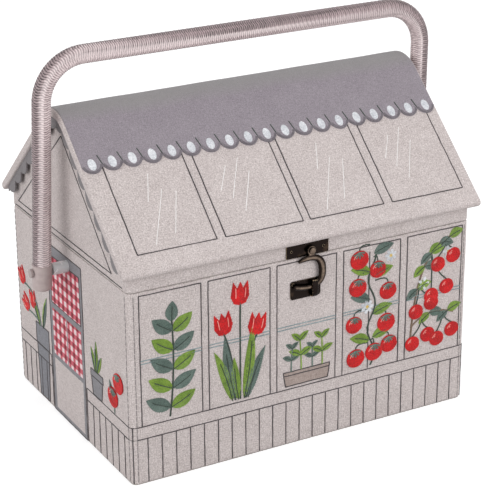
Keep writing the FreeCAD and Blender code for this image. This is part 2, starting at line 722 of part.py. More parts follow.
hook_line = centre_line(
    "hook_line", front_plane,
    [("hook_tail_x", "hook_tail_z"), ("hook_knee_x", "hook_top_z"), ("hook_bend_x", "hook_top_z"),
     ("hook_side_x", "hook_bend_high"), ("hook_side_x", "hook_bend_low"), ("hook_bend_x", "hook_arm_z"),
     ("hook_tip_x", "hook_arm_z")],
    {2: ("hook_bend", "hook_bend_x", "hook_bend_high"), 4: ("hook_bend", "hook_bend_x", "hook_bend_low")})
place(hook_line, "0", "(hook_face + hook_back) / 2", "0")
hook_bar = band("hook_bar", hook_line, "hook_band / 2", V(0, 1, 0), "hook_metal")
hook_eye = rod("hook_eye", "y", "hook_eye_radius", "hook_face", "hook_back", "rivet_shift", "rivet_z")
hook_neck = block("hook_neck", ("rivet_shift - hook_neck / 2", "rivet_shift + hook_neck / 2"),
                  ("hook_face", "hook_back"), ("hook_top_z", "rivet_z"))
hook_bore = rod("hook_bore", "y", "rivet_radius + shaft_fit", "hook_face - overrun", "hook_back + overrun",
                "rivet_shift", "rivet_z")
keep(cut("hook", fuse("hook_blank", [hook_bar, hook_eye, hook_neck]), hook_bore), "latch_hook")


# Handle, built upright about its pivot line and then leant forward
def lean(piece):
    piece.Placement = FreeCAD.Placement(V(), FreeCAD.Rotation(V(1, 0, 0), value("lean_angle")))
    return bind(place(piece, z="pivot_height"), {"Placement.Rotation.Angle": "lean_angle"})


def bail(name, foot, radius):
    # a round bar along the handle's centre line, from foot to foot
    x, z = f"{foot}_foot_x", f"{foot}_foot_z"
    right = [(x, z), ("leg_top_x", "leg_top_z"), ("bend_x", "bar_rise")]
    left = [("-" + u, v) for u, v in reversed(right)]
    path = centre_line(name + "_line", front_plane, right + left,
                       {1: ("bend_radius", "bend_x", "bend_z"), 3: ("bend_radius", "-bend_x", "bend_z")})
    ring = doc.addObject("Part::Circle", name + "_section")
    ring.Placement = FreeCAD.Placement(V(), FreeCAD.Rotation(V(0, -1, 0), value("splay_angle")))
    bind(place(ring, x, "0", z), {"Radius": radius, "Placement.Rotation.Angle": "splay_angle"})
    sweep = doc.addObject("Part::Sweep", name)
    sweep.Sections = [ring]
    sweep.Spine = (path, [f"Edge{i + 1}" for i in range(len(right + left) - 1)])
    sweep.Solid = True
    return sweep


cross_bore = rod("handle_bore", "x", "pivot_radius + shaft_fit", "-head_seat - overrun",
                 "head_seat + overrun", "0", "0")
keep(lean(cut("handle_rod", bail("core_bar", "core", "core_radius"), cross_bore)), "handle_core")
wrap_hole = bail("wrap_hole", "core", "core_radius + wrap_gap")
keep(lean(cut("handle_sleeve", bail("wrap_bar", "wrap", "wrap_radius"), wrap_hole)), "handle_wrap")

for side, sign, turn in (("left", "-", 1), ("right", "", -1)):
    cap = doc.addObject("PartDesign::Body", side + "_cap_body")
    sketch = cap.newObject("Sketcher::SketchObject", side + "_cap_circle")
    sketch.AttachmentSupport = ([o for o in cap.Origin.OriginFeatures if o.Role == "XY_Plane"][0], [""])
    sketch.MapMode = "FlatFace"
    sketch.setExpression("AttachmentOffset.Base.z", link("-cap_drop"))
    sketch.addGeometry(Part.Circle(V(), V(0, 0, 1), value("cap_radius")))
    sketch.addConstraint(Sketcher.Constraint("Coincident", 0, 3, -1, 1))
    index = sketch.addConstraint(Sketcher.Constraint("Radius", 0, value("cap_radius")))
    sketch.setExpression(f"Constraints[{index}]", link("cap_radius"))
    pad = cap.newObject("PartDesign::Pad", side + "_cap_pad")
    pad.Profile = sketch
    bind(pad, {"Length": "cap_drop + cap_rise"})
    soften(cap, "cap_round", lambda edge: not upright(edge) and edge.CenterOfMass.z < 0)
    cap.Placement = FreeCAD.Placement(V(), FreeCAD.Rotation(V(0, turn, 0), value("splay_angle")))
    bind(place(cap, sign + "leg_half_span"), {"Placement.Rotation.Angle": "splay_angle"})
    keep(lean(cut(side + "_cap_drilled", cap, wrap_hole, cross_bore)), side + "_end_cap")

# Pivot screws with spacers outside the wall, washers and nuts inside it
screws, washers, nuts = [], [], []
for side, sign in (("left", -1), ("right", 1)):
    def reach(low, high):
        # a stretch along X, given for the right side
        return (low, high) if sign > 0 else (f"-({high})", f"-({low})")

    at = ("0", "pivot_height")
    spacer = rod(side + "_spacer_blank", "x", "spacer_radius", *reach("half_width", "spacer_end"), *at)
    spacer_bore = rod(side + "_spacer_bore", "x", "pivot_radius + bore_fit",
                      *reach("half_width", "head_seat"), *at)
    keep(cut(side + "_spacer", spacer, spacer_bore), side + "_handle_spacer")
    head = rod(side + "_pivot_head", "x", "pivot_head_radius",
               *reach("head_seat", "head_seat + pivot_head"), *at)
    shank = rod(side + "_pivot_shank", "x", "pivot_radius",
                *reach("nut_face - screw_proud", "head_seat"), *at)
    screws.append(fuse(side + "_pivot_screw", [head, shank]))
    disc = rod(side + "_washer_disc", "x", "washer_radius", *reach("washer_face", "lined_half_width"), *at)
    washers.append(cut(side + "_washer", disc, pivot_bore))
    hexagon = doc.addObject("Part::Prism", side + "_nut_hexagon")
    hexagon.Polygon = nut_sides
    hexagon.Placement = FreeCAD.Placement(V(), axis_turns["x"])
    bind(hexagon, {"Circumradius": f"nut_across / 2 / cos(180 / {nut_sides})", "Height": "nut"})
    place(hexagon, reach("nut_face", "washer_face")[0], *at)
    thread = rod(side + "_nut_thread", "x", "pivot_radius + shaft_fit",
                 *reach("nut_face - overrun", "half_width"), *at)
    nuts.append(cut(side + "_nut", hexagon, thread))
keep(group("pivot_screw_pair", screws), "pivot_screws")
keep(group("washer_pair", washers), "pivot_washers")
keep(group("nut_pair", nuts), "pivot_nuts")

# Tray with its rim, finger notches and dividers
tray_outside = rounded_block("tray_outside", "tray_half_width", "tray_half_depth",
                             ("tray_seat", "tray_top"), "tray_corner")
tray_edge = rounded_block("tray_edge", "tray_rim_half_width", "tray_rim_half_depth",
                          ("tray_top - tray_rim_height", "tray_top"), "tray_rim_corner")
tray_room = rounded_block("tray_room", "tray_room_half_width", "tray_room_half_depth",
                          ("tray_floor", "tray_top + overrun"), "tray_room_corner")
fingers = rod("finger_notches", "x", "finger_radius", "-tray_half_width - overrun",
              "tray_half_width + overrun", "0", "tray_top")
keep(cut("tray_moulding", fuse("tray_blank", [tray_outside, tray_edge]), tray_room, fingers), "tray_shell")
z_divider = ("tray_floor", "tray_top - divider_drop")
y_divider = ("divider_shift - divider / 2", "divider_shift + divider / 2")
x_divider = ("-tray_room_half_width", "tray_room_half_width")
keep(block("long_divider", x_divider, y_divider, z_divider), "tray_long_divider")
cross_places = [
    ("-divider_spread", ("-tray_room_half_depth", y_divider[0])),
    ("divider_spread", ("-tray_room_half_depth", y_divider[0])),
    ("divider_spread", (y_divider[1], "tray_room_half_depth")),
]
crosses = [block(f"cross_divider_{i}", (f"{x} - divider / 2", f"{x} + divider / 2"), span, z_divider)
           for i, (x, span) in enumerate(cross_places)]
keep(group("cross_dividers", crosses), "tray_cross_dividers")

doc.recompute()
faults = [piece.Name for piece in doc.Objects if {"Invalid", "Error"} & set(piece.State)]
faults += [piece.Label for piece in pieces if piece.Shape.isNull() or not piece.Shape.isValid()]
if faults:
    raise RuntimeError("not built: " + ", ".join(faults))
os.makedirs("parts", exist_ok=True)
for piece in pieces:
    piece.Shape.exportStep(f"parts/{piece.Label}.step")
    print(f"{piece.Label}: {len(piece.Shape.Solids)} solid(s), {piece.Shape.Volume:.0f} mm3")
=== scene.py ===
import math
import random
import bmesh
import bpy
from mathutils import Matrix, Vector


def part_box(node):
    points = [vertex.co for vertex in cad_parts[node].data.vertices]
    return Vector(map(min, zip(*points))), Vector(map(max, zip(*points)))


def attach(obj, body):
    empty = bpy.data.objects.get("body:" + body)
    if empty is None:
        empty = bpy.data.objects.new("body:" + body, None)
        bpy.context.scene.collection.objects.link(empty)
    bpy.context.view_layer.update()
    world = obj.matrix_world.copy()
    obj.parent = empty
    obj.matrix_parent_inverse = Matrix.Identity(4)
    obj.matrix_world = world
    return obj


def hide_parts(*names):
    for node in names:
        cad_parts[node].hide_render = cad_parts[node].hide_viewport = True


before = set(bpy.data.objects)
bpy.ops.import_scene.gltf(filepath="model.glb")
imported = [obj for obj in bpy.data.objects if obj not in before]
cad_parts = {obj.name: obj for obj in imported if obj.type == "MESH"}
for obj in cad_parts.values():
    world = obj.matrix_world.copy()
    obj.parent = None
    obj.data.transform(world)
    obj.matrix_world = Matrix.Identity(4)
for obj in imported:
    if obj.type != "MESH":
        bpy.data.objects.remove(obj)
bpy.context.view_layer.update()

mm = 0.001
scene = bpy.context.scene
scene.view_settings.view_transform = "Standard"
print("frame loaded:", len(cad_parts), "nodes")


def tint(red, green, blue):  # screen colour, 0 to 255, as the linear colour that a shader takes
    def channel(value):
        value = value / 255
        return value / 12.92 if value <= 0.04045 else ((value + 0.055) / 1.055) ** 2.4
    return (channel(red), channel(green), channel(blue), 1)


class Net:  # a node tree, with short ways to add a node and get its outputs
    def __init__(self, tree):
        self.tree = tree
        self.link = tree.links.new

    def put(self, kind, sockets=None, **settings):  # one node, its sockets set or wired
        node = self.tree.nodes.new(kind)
        for name, value in settings.items():
            setattr(node, name, value)
        for key, value in (sockets or {}).items():
            if isinstance(value, bpy.types.NodeSocket):
                self.link(value, node.inputs[key])
            else:
                node.inputs[key].default_value = value
        return node.outputs

    def calc(self, operation, *values):
        return self.put("ShaderNodeMath", dict(enumerate(values)), operation=operation)[0]

    def add(self, total, *others):
        for value in others:
            total = self.calc("ADD", total, value)
        return total

    def sub(self, a, b):
        return self.calc("SUBTRACT", a, b)

    def mul(self, a, b):
        return self.calc("MULTIPLY", a, b)

    def wave(self, value):  # sine of a number of half turns
        return self.calc("SINE", self.mul(value, math.pi))

    def vector(self, operation, first, second=None):
        sockets = {0: first}
        if second is not None:
            sockets["Scale" if operation == "SCALE" else 1] = second
        return self.put("ShaderNodeVectorMath", sockets, operation=operation)

    def parts(self, vector):
        return self.put("ShaderNodeSeparateXYZ", {0: vector})

    def mix(self, factor, first, second, mode="MIX"):
        sockets = {0: factor, 6: first, 7: second}
        return self.put("ShaderNodeMix", sockets, data_type="RGBA", blend_type=mode)[2]

    def spread(self, value, low, high, start=0.0, end=1.0):
        return self.put("ShaderNodeMapRange", {0: value, 1: low, 2: high, 3: start, 4: end})[0]

    def noise(self, vector, scale, detail=2.0, dimensions="3D"):
        sockets = {"Vector": vector, "Scale": scale, "Detail": detail}
        return self.put("ShaderNodeTexNoise", sockets, noise_dimensions=dimensions)[0]

    def coords(self, kind="Object"):
        return self.put("ShaderNodeTexCoord")[kind]

    def group(self, tree, sockets):
        return self.put("ShaderNodeGroup", sockets, node_tree=tree)

    def bump(self, shader, height, strength, depth):
        sockets = {"Height": height, "Strength": strength, "Distance": depth * mm}
        self.link(self.put("ShaderNodeBump", sockets)[0], shader["Normal"])


def newTree(name, kind, inputs, outputs):  # an empty group, its source's outputs and its target's inputs
    tree = bpy.data.node_groups.new(name, kind)
    for way, labels in (("INPUT", inputs), ("OUTPUT", outputs)):
        for label, sort in labels.items():
            tree.interface.new_socket(label, in_out=way, socket_type="NodeSocket" + sort)
    net = Net(tree)
    return net, net.put("NodeGroupInput"), tree.nodes.new("NodeGroupOutput").inputs


# shader groups shared by the cloths, threads and metals

def makeClothWeave():
    inputs = {"Coords": "Vector", "Pitch": "Float", "Slub": "Float", "Speck": "Float"}
    outputs = {"Tone": "Float", "Height": "Float"}
    net, source, target = newTree("clothWeave", "ShaderNodeTree", inputs, outputs)
    threads = net.vector("SCALE", source["Coords"], net.calc("DIVIDE", 1.0, source["Pitch"]))[0]

    def cloud(across, along, detail=2.0):
        return net.noise(net.vector("MULTIPLY", threads, (across, along, 1))[0], 1.0, detail, "2D")

    ways = net.parts(threads)[:2]
    warp, weft = (net.wave(net.calc("FRACT", way)) for way in ways)
    over = net.calc("FLOORED_MODULO", net.add(*(net.calc("FLOOR", way) for way in ways)), 2.0)
    strand = net.add(warp, net.mul(net.sub(weft, warp), over))
    slub = net.sub(net.add(cloud(0.9, 0.12), cloud(0.12, 0.9)), 1.0)
    fleck = net.sub(cloud(0.62, 0.62, 3.0), 0.5)
    mottle = net.sub(cloud(0.03, 0.03), 0.5)
    tone = net.add(0.38, net.mul(slub, source["Slub"]), net.mul(fleck, source["Speck"]),
                   net.mul(mottle, 0.16), net.mul(strand, 0.2))
    net.link(tone, target["Tone"])
    net.link(net.add(strand, net.mul(slub, 0.8)), target["Height"])
    return net.tree


def makeThreadLustre():
    inputs = {"Coords": "Vector", "Scale": "Float"}
    outputs = {"Tone": "Float", "Height": "Float"}
    net, source, target = newTree("threadLustre", "ShaderNodeTree", inputs, outputs)
    fine = net.noise(source["Coords"], source["Scale"], 3.0)
    broad = net.noise(source["Coords"], net.mul(source["Scale"], 0.12))
    net.link(net.add(net.mul(fine, 0.6), net.mul(broad, 0.4)), target["Tone"])
    net.link(fine, target["Height"])
    return net.tree


def makeMetalPatina():
    inputs = {"Coords": "Vector", "Edge": "Float", "Scale": "Float"}
    outputs = {"WearAndHighlight": "Float", "Stain": "Float", "Height": "Float"}
    net, source, target = newTree("metalPatina", "ShaderNodeTree", inputs, outputs)
    grain = net.noise(source["Coords"], source["Scale"], 4.0)
    cloud = net.noise(source["Coords"], net.mul(source["Scale"], 0.2), 3.0)
    edge = net.spread(source["Edge"], 0.505, 0.56)
    # edge wear; where Edge comes from a facing mask, a painted highlight instead
    wornAndHighlit = net.mul(edge, net.spread(cloud, 0.3, 0.55, 0.35, 1.0))
    net.link(net.calc("MAXIMUM", wornAndHighlit, net.spread(cloud, 0.6, 0.85, 0.0, 0.3)), target["WearAndHighlight"])
    net.link(net.spread(grain, 0.3, 0.7), target["Stain"])
    net.link(grain, target["Height"])
    return net.tree


clothWeave = makeClothWeave()
threadLustre = makeThreadLustre()
metalPatina = makeMetalPatina()


def newMaterial(name, roughness, **sockets):  # a material, its tree and its shader's inputs
    material = bpy.data.materials.new(name)
    material.use_nodes = True
    shader = material.node_tree.nodes["Principled BSDF"].inputs
    for label, value in {"Roughness": roughness, **sockets}.items():
        shader[label.replace("_", " ")].default_value = value
    return material, Net(material.node_tree), shader


def clothMaterial(name, dark, light, pitch=0.62, slub=0.9, speck=0.8, onUv=True, sheen=0.12, paleTop=None):
    material, net, shader = newMaterial(name, 0.9, Sheen_Weight=sheen, Sheen_Roughness=0.5,
                                        Specular_IOR_Level=0.2)
    where = net.coords("UV" if onUv else "Object")
    weave = net.group(clothWeave, {"Coords": where, "Pitch": pitch * mm, "Slub": slub, "Speck": speck})
    colour = net.mix(weave["Tone"], tint(*dark), tint(*light))
    if paleTop:  # paler towards the top, patchy at the border
        spot = net.coords()
        patchy = net.mul(net.sub(net.noise(spot, paleTop["patches"]), 0.5), paleTop["high"] - paleTop["low"])
        rise = net.add(net.parts(spot)["Z"], patchy)
        amount = net.spread(rise, paleTop["low"], paleTop["high"], 0.0, paleTop["most"])
        colour = net.mix(amount, colour, tint(*paleTop["colour"]))
    net.link(colour, shader["Base Color"])
    net.bump(shader, weave["Height"], 0.55, 0.12)
    return material


def ginghamMaterial(name, check, pale, middle, deep):
    material, net, shader = newMaterial(name, 0.9, Sheen_Weight=0.1)
    where = net.coords("UV")
    weave = net.group(clothWeave, {"Coords": where, "Pitch": 0.6 * mm, "Slub": 0.8, "Speck": 0.6})
    ways = net.parts(net.vector("MULTIPLY", where, (0.5 / check, 0.5 / check, 1))[0])[:2]
    columns, rows = (net.calc("GREATER_THAN", net.calc("FRACT", way), 0.5) for way in ways)
    checks = net.put("ShaderNodeValToRGB", {0: net.mul(net.add(columns, rows), 0.5)})[0]
    ramp = checks.node.color_ramp
    ramp.interpolation = "CONSTANT"
    ramp.elements[0].color = tint(*pale)
    ramp.elements[1].position = 0.75
    ramp.elements[1].color = tint(*deep)
    ramp.elements.new(0.25).color = tint(*middle)
    shade = net.mix(weave["Tone"], (0.72, 0.72, 0.72, 1), (1.1, 1.1, 1.1, 1))
    net.link(net.mix(1.0, checks, shade, "MULTIPLY"), shader["Base Color"])
    net.bump(shader, weave["Height"], 0.5, 0.1)
    return material


def threadMaterial(name, dark, light, scale=900.0, sheen=0.25):
    material, net, shader = newMaterial(name, 0.55, Sheen_Weight=sheen, Sheen_Roughness=0.35)
    lustre = net.group(threadLustre, {"Coords": net.coords(), "Scale": scale})
    tone = net.spread(lustre["Tone"], 0.32, 0.66)
    net.link(net.mix(tone, tint(*dark), tint(*light)), shader["Base Color"])
    net.bump(shader, lustre["Height"], 0.35, 0.1)
    return material


def wrapMaterial(name, inner, outer, highlightColour):  # cord colour follows the winding's own relief, with painted shade in the gaps between strands
    material, net, shader = newMaterial(name, 0.38, Sheen_Weight=0.2, Sheen_Roughness=0.3)
    where = net.coords()
    lustre = net.group(threadLustre, {"Coords": where, "Scale": 1500.0})
    relief, side = (net.put("ShaderNodeAttribute", attribute_name=label)["Fac"]
                    for label in ("relief", "outer"))
    fibre = net.mul(net.sub(lustre["Tone"], 0.5), 0.7)
    tone = net.spread(net.add(relief, fibre), 0.14, 0.8)
    side = net.add(side, net.mul(net.parts(where)["X"], 2.0))  # the winding turns along the bail
    litInner, shadedOuter = (net.mix(tone, tint(*dark), tint(*light)) for dark, light in (inner, outer))
    colour = net.mix(net.spread(side, 0.1, 0.35), litInner, shadedOuter)  # painted shade: the outer half darker
    # painted highlight: a pale band where the tube turns from its inner to its outer side
    band = net.mul(net.spread(side, -0.3, 0.0), net.spread(side, 0.3, 0.1))
    colour = net.mix(net.mul(band, 0.4), colour, tint(*highlightColour))
    net.link(colour, shader["Base Color"])
    net.link(net.spread(relief, 0.2, 0.9, 0.7, 0.24), shader["Roughness"])
    net.bump(shader, lustre["Height"], 0.2, 0.1)
    return material


def metalMaterial(name, dark, bright, edge=0.5, roughness=(0.2, 0.4), scale=420.0):
    material, net, shader = newMaterial(name, 0.4, Metallic=1.0)
    if edge is None:  # painted highlight along the front-facing crest of the bar, dark round its sides
        front = net.parts(net.coords("Normal"))["Y"]
        edge = net.spread(front, -0.97, -1.0, 0.5, 0.55)
    patina = net.group(metalPatina, {"Coords": net.coords(), "Edge": edge, "Scale": scale})
    net.link(net.mix(patina["WearAndHighlight"], tint(*dark), tint(*bright)), shader["Base Color"])
    net.link(net.spread(patina["Stain"], 0.0, 1.0, *roughness), shader["Roughness"])
    net.bump(shader, patina["Height"], 0.18, 0.1)
    return material


def mouldedMaterial(name, dark, light, roughness=0.4, scale=260.0, **sockets):
    material, net, shader = newMaterial(name, roughness, **sockets)
    lustre = net.group(threadLustre, {"Coords": net.coords(), "Scale": scale})
    tone = net.spread(lustre["Tone"], 0.3, 0.7)
    net.link(net.mix(tone, tint(*dark), tint(*light)), shader["Base Color"])
    rough = net.spread(lustre["Height"], 0.3, 0.7, roughness - 0.06, roughness + 0.08)
    net.link(rough, shader["Roughness"])
    net.bump(shader, lustre["Height"], 0.12, 0.08)
    return material


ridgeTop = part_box("ridge_capping")[1].z
ridgeTopPaling = {"low": ridgeTop - 7 * mm, "high": ridgeTop - 1 * mm, "most": 0.55, "patches": 26.0,
             "colour": (150, 150, 146)}
finishes = {
    "linen": clothMaterial("linen_cloth", (150, 137, 135), (232, 223, 221), 0.62, 0.5, 1.15),
    "greyCloth": clothMaterial("ridge_cloth", (112, 104, 112), (172, 164, 171), 0.55, 0.5, 0.9,
                               paleTop=ridgeTopPaling),
    # barge trim: the ridge's purple-grey cloth painted darker and greyer, as painted shade under the eaves
    "trimCloth": clothMaterial("trim_cloth", (102, 98, 100), (150, 145, 147), 0.5, 0.5, 0.6),
    "lining": clothMaterial("lining_cotton", (176, 160, 158), (226, 214, 211), 0.45, 0.4, 0.35),
    "board": clothMaterial("grey_board", (118, 112, 106), (164, 157, 149), 1.1, 0.5, 0.9, False, 0.0),
    "gingham": ginghamMaterial("gingham_print", 4.3 * mm, (240, 218, 220), (206, 92, 108), (128, 10, 32)),
    "framePrint": clothMaterial("door_frame_print", (112, 110, 114), (152, 150, 154)),
    "potPrint": clothMaterial("clay_pot_print", (136, 121, 115), (186, 170, 163)),
    "darkPrint": clothMaterial("slate_print", (104, 104, 110), (148, 148, 154)),
    "seam": threadMaterial("seam_thread", (112, 106, 106), (152, 145, 144)),
    "pin": mouldedMaterial("pin_plastic", (146, 131, 129), (172, 157, 155)),
    "ink": threadMaterial("line_print", (38, 34, 37), (76, 69, 71), 700.0, 0.0),
    "glint": threadMaterial("glint_print", (226, 223, 221), (250, 249, 248), 700.0, 0.0),
    "wire": threadMaterial("wire_print", (104, 120, 124), (150, 166, 168), 700.0, 0.0),
    "edging": threadMaterial("edging_thread", (92, 86, 92), (134, 127, 133)),
    "vein": threadMaterial("vein_thread", (30, 44, 36), (58, 74, 62)),
    "red": threadMaterial("red_thread", (150, 4, 9), (228, 16, 22), sheen=0.06),
    "blush": threadMaterial("blush_thread", (226, 120, 112), (246, 176, 166)),
    "green": threadMaterial("leaf_thread", (84, 116, 30), (142, 172, 66)),
    "slate": threadMaterial("shade_thread", (64, 84, 77), (112, 131, 122)),
    "white": threadMaterial("white_thread", (184, 187, 194), (244, 245, 248)),
    "yellow": threadMaterial("yellow_thread", (196, 160, 60), (236, 208, 112)),
    "brown": threadMaterial("stem_thread", (92, 74, 58), (134, 112, 92)),
    # handle cord: inner colours, outer colours darker as painted shade, and a painted highlight colour
    "wrap": wrapMaterial("handle_cord", ((118, 97, 100), (242, 225, 225)), ((36, 28, 30), (177, 157, 159)),
                         (244, 232, 232)),
    "cap": mouldedMaterial("cap_plastic", (168, 152, 150), (190, 175, 173), 0.42),
    "bronze": metalMaterial("antique_bronze", (32, 26, 24), (134, 110, 88)),
    "bronzeEdge": metalMaterial("worn_bronze_edge", (88, 72, 60), (200, 178, 146), 0.56),
    # cast bronze: a painted highlight on the faces turned to the front, broken by patina
    "bronzeCast": metalMaterial("cast_bronze", (32, 26, 23), (140, 122, 108), None, (0.16, 0.36), 1500.0),
    "steel": metalMaterial("plated_steel", (120, 120, 122), (190, 190, 192), 0.5, (0.25, 0.4)),
    "tray": mouldedMaterial("tray_plastic", (214, 206, 203), (232, 226, 223), 0.38),
    "clear": mouldedMaterial("clear_plastic", (240, 240, 242), (254, 254, 254), 0.22, 300.0,
                             Transmission_Weight=0.35, IOR=1.46),
}
print("materials made:", len(finishes))


def addObject(name, data):
    item = bpy.data.objects.new(name, data)
    scene.collection.objects.link(item)
    return item


def meshPiece(name, verts, faces, material, corners=None, smooth=True):
    mesh = bpy.data.meshes.new(name)
    mesh.from_pydata(verts, [], faces)
    if corners:
        layer = mesh.uv_layers.new(name="cloth")
        layer.data.foreach_set("uv", [value for pair in corners for value in pair])
    mesh.materials.append(material)
    mesh.polygons.foreach_set("use_smooth", [smooth] * len(mesh.polygons))
    mesh.update()
    return addObject(name, mesh)


def sheetPiece(name, points, places, material, wrap=False, flip=False):
    # rows of points joined into a sheet; a wrapped sheet has one more column of places than of points
    columns = len(points[0])
    faces, corners = [], []
    for i in range(len(points) - 1):
        for j in range(columns if wrap else columns - 1):
            k = (j + 1) % columns
            face = [i * columns + j, i * columns + k, (i + 1) * columns + k, (i + 1) * columns + j]
            spots = [places[i][j], places[i][j + 1], places[i + 1][j + 1], places[i + 1][j]]
            faces.append(face[::-1] if flip else face)
            corners += spots[::-1] if flip else spots
    return meshPiece(name, [p for row in points for p in row], faces, material, corners)


def reshape(mesh, *changes):  # changes made to a mesh one after the other
    shell = bmesh.new()
    shell.from_mesh(mesh)
    for change in changes:
        change(shell)
    shell.to_mesh(mesh)
    shell.free()


def merge(reach):
    return lambda shell: bmesh.ops.remove_doubles(shell, verts=shell.verts[:], dist=reach)


def faceOut(shell):
    bmesh.ops.recalc_face_normals(shell, faces=shell.faces[:])


def thicken(piece, thickness, offset=-1.0):
    wall = piece.modifiers.new("thickness", "SOLIDIFY")
    wall.thickness = thickness * mm
    wall.offset = offset
    return piece


def softenEdges(piece, width, segments=2, angle=50):
    edges = piece.modifiers.new("soft edges", "BEVEL")
    edges.width = width * mm
    edges.segments = segments
    edges.limit_method = "ANGLE"
    edges.angle_limit = math.radians(angle)
    return edges


def mount(piece, body, slot, *nodes):
    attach(piece, body)
    if nodes:
        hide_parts(*nodes)
    return piece


# the box's outside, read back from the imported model, and the roof's section

halfWidth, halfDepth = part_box("body_cover")[1][:2]
corner = {"radius": 5 * mm, "steps": 7}
roof = {"pitch": math.radians(42), "bend": 30 * mm, "slab": 6.6 * mm, "half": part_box("roof_cover")[1].x,
        "reach": 115 * mm, "crest": 266.506 * mm}
roof["centre"] = roof["crest"] - roof["bend"]
roof["inner"] = roof["bend"] - roof["slab"]
roof["peak"] = roof["centre"] + roof["inner"] / math.cos(roof["pitch"])
roof["turn"] = roof["bend"] * roof["pitch"]
eaveMiddle = roof["reach"] - roof["slab"] / 2
middleBend = (roof["bend"] - roof["slab"] / 2) * math.sin(roof["pitch"])
roof["eave"] = roof["turn"] + (eaveMiddle - middleBend) / math.cos(roof["pitch"])
apexGain = roof["bend"] * (math.tan(roof["pitch"]) - roof["pitch"])  # sharp apex to the rounded ridge


def roofPoint(s, depth=0.0):  # section of the roof: s along the outer face from the ridge, front positive
    turn = max(-roof["pitch"], min(roof["pitch"], s / roof["bend"]))
    run = s - turn * roof["bend"]
    radius = roof["bend"] - depth
    y = -radius * math.sin(turn) - run * math.cos(turn)
    z = roof["centre"] + radius * math.cos(turn) - run * math.sin(turn)
    return y, z, turn


def undersideAt(y):
    if abs(y) < roof["inner"] * math.sin(roof["pitch"]):
        return roof["centre"] + math.sqrt(roof["inner"] ** 2 - y * y)
    return roof["peak"] - abs(y) * math.tan(roof["pitch"])


def ripple(p):  # the cloth's slight unevenness on its boards
    a = math.sin(p[0] * 71 + p[2] * 43 + 1.3) * math.sin(p[1] * 67 - p[2] * 59 + 0.4)
    b = math.sin(p[0] * 153 - p[1] * 131 + p[2] * 119)
    return (0.09 * a + 0.04 * b) * mm


def onFace(p, normal, lift):
    p = Vector(p)
    normal = Vector(normal)
    return p + normal * (lift + ripple(p)), normal


def roofFace(side):  # v runs up the slope: minus the distance from the sharp apex
    def place(u, v, lift):
        y, z, turn = roofPoint(-v - apexGain)
        return onFace((u * side, y * side, z), (0, -math.sin(turn) * side, math.cos(turn)), lift)
    return place


def wallFace(along, out, half, depth):  # a wall's face, carried on round its corners
    along, out = Vector(along), Vector(out)
    radius = corner["radius"]

    def place(u, v, lift):
        sign = 1 if u > 0 else -1
        turn = max(0.0, abs(u) - half + radius) / radius
        flat = min(abs(u), half - radius) + radius * math.sin(turn)
        deep = depth - radius * (1 - math.cos(turn))
        normal = out * math.cos(turn) + along * sign * math.sin(turn)
        return onFace(along * sign * flat + out * deep + Vector((0, 0, v)), normal, lift)
    return place


surfaces = {  # u to the right and v up, as seen from outside
    "front": wallFace((1, 0, 0), (0, -1, 0), halfWidth, halfDepth),
    "back": wallFace((-1, 0, 0), (0, 1, 0), halfWidth, halfDepth),
    "left": wallFace((0, -1, 0), (-1, 0, 0), halfDepth, halfWidth),
    "right": wallFace((0, 1, 0), (1, 0, 0), halfDepth, halfWidth),
    "frontRoof": roofFace(1),
    "backRoof": roofFace(-1),
}


def roundedOutline(inset, radius, pitch):  # points and normals round the box, and the length along to each
    spots = []
    across = Vector((halfWidth - inset - radius, halfDepth - inset - radius, 0))
    for sideX, sideY, start in ((1, -1, -90), (1, 1, 0), (-1, 1, 90), (-1, -1, 180)):
        for i in range(corner["steps"] + 1):
            angle = math.radians(start + 90 * i / corner["steps"])
            normal = Vector((math.cos(angle), math.sin(angle), 0))
            spots.append((Vector((sideX * across.x, sideY * across.y, 0)) + normal * radius, normal))
    filled = []
    for (p, normal), (q, _) in zip(spots, spots[1:] + spots[:1]):
        filled.append((p, normal))
        gap = (q - p).length
        if gap > pitch * 1.5:
            count = int(gap / pitch)
            filled += [(p.lerp(q, k / count), normal) for k in range(1, count)]
    lengths = [0.0]
    for (p, _), (q, _) in zip(filled, filled[1:] + filled[:1]):
        lengths.append(lengths[-1] + (q - p).length)
    return filled, lengths


def level(inset, z):  # a sleeve's row that keeps one inset and one height, in millimetres
    return lambda p: (inset * mm, z * mm)


def sleeve(name, material, rows, outline, lengths):
    # rows give, for an outline point, the inset and height; the outer face keeps the cloth's unevenness
    points = []
    for row in rows:
        line = []
        for p, normal in outline:
            inset, z = row(p)
            q = Vector((p.x, p.y, z)) - normal * inset
            line.append(q + normal * (ripple(q) if inset <= 0 else 0))
        points.append(line)
    places = [[(s, line[j % len(line)].z) for j, s in enumerate(lengths)] for line in points]
    return sheetPiece(name, points, places, material, wrap=True)


bodyCloth = {"pitch": 6 * mm, "rows": 24, "thick": 0.15,
             "foot": [(4.6, 0.3), (2.4, 0.25), (1.1, 0.35), (0.4, 0.8), (0.08, 1.6), (0.0, 2.8)],
             "rim": [(0.0, 154.4), (0.12, 155.1), (0.45, 155.55), (1.0, 155.7), (3.2, 155.72),
                     (5.6, 155.7), (6.05, 155.5), (6.2, 155.0), (6.2, 150.6)]}
lidCloth = {"rows": 12, "underRoof": 0.3 * mm,
            "turnIn": [(6.2, 161.0), (6.2, 157.2), (6.0, 156.5), (5.5, 156.25), (3.2, 156.2), (1.0, 156.22),
                       (0.45, 156.4), (0.12, 156.9), (0.0, 157.7)]}


def makeBodyCover(outline, lengths):
    low, high = bodyCloth["foot"][-1][1], bodyCloth["rim"][0][1]
    steps = [(0.0, low + (high - low) * i / bodyCloth["rows"]) for i in range(1, bodyCloth["rows"])]
    rows = [level(*at) for at in bodyCloth["foot"] + steps + bodyCloth["rim"]]
    cover = sleeve("body_cover_cloth", finishes["linen"], rows, outline, lengths)
    mount(thicken(cover, bodyCloth["thick"]), "box", "linen", "body_cover")


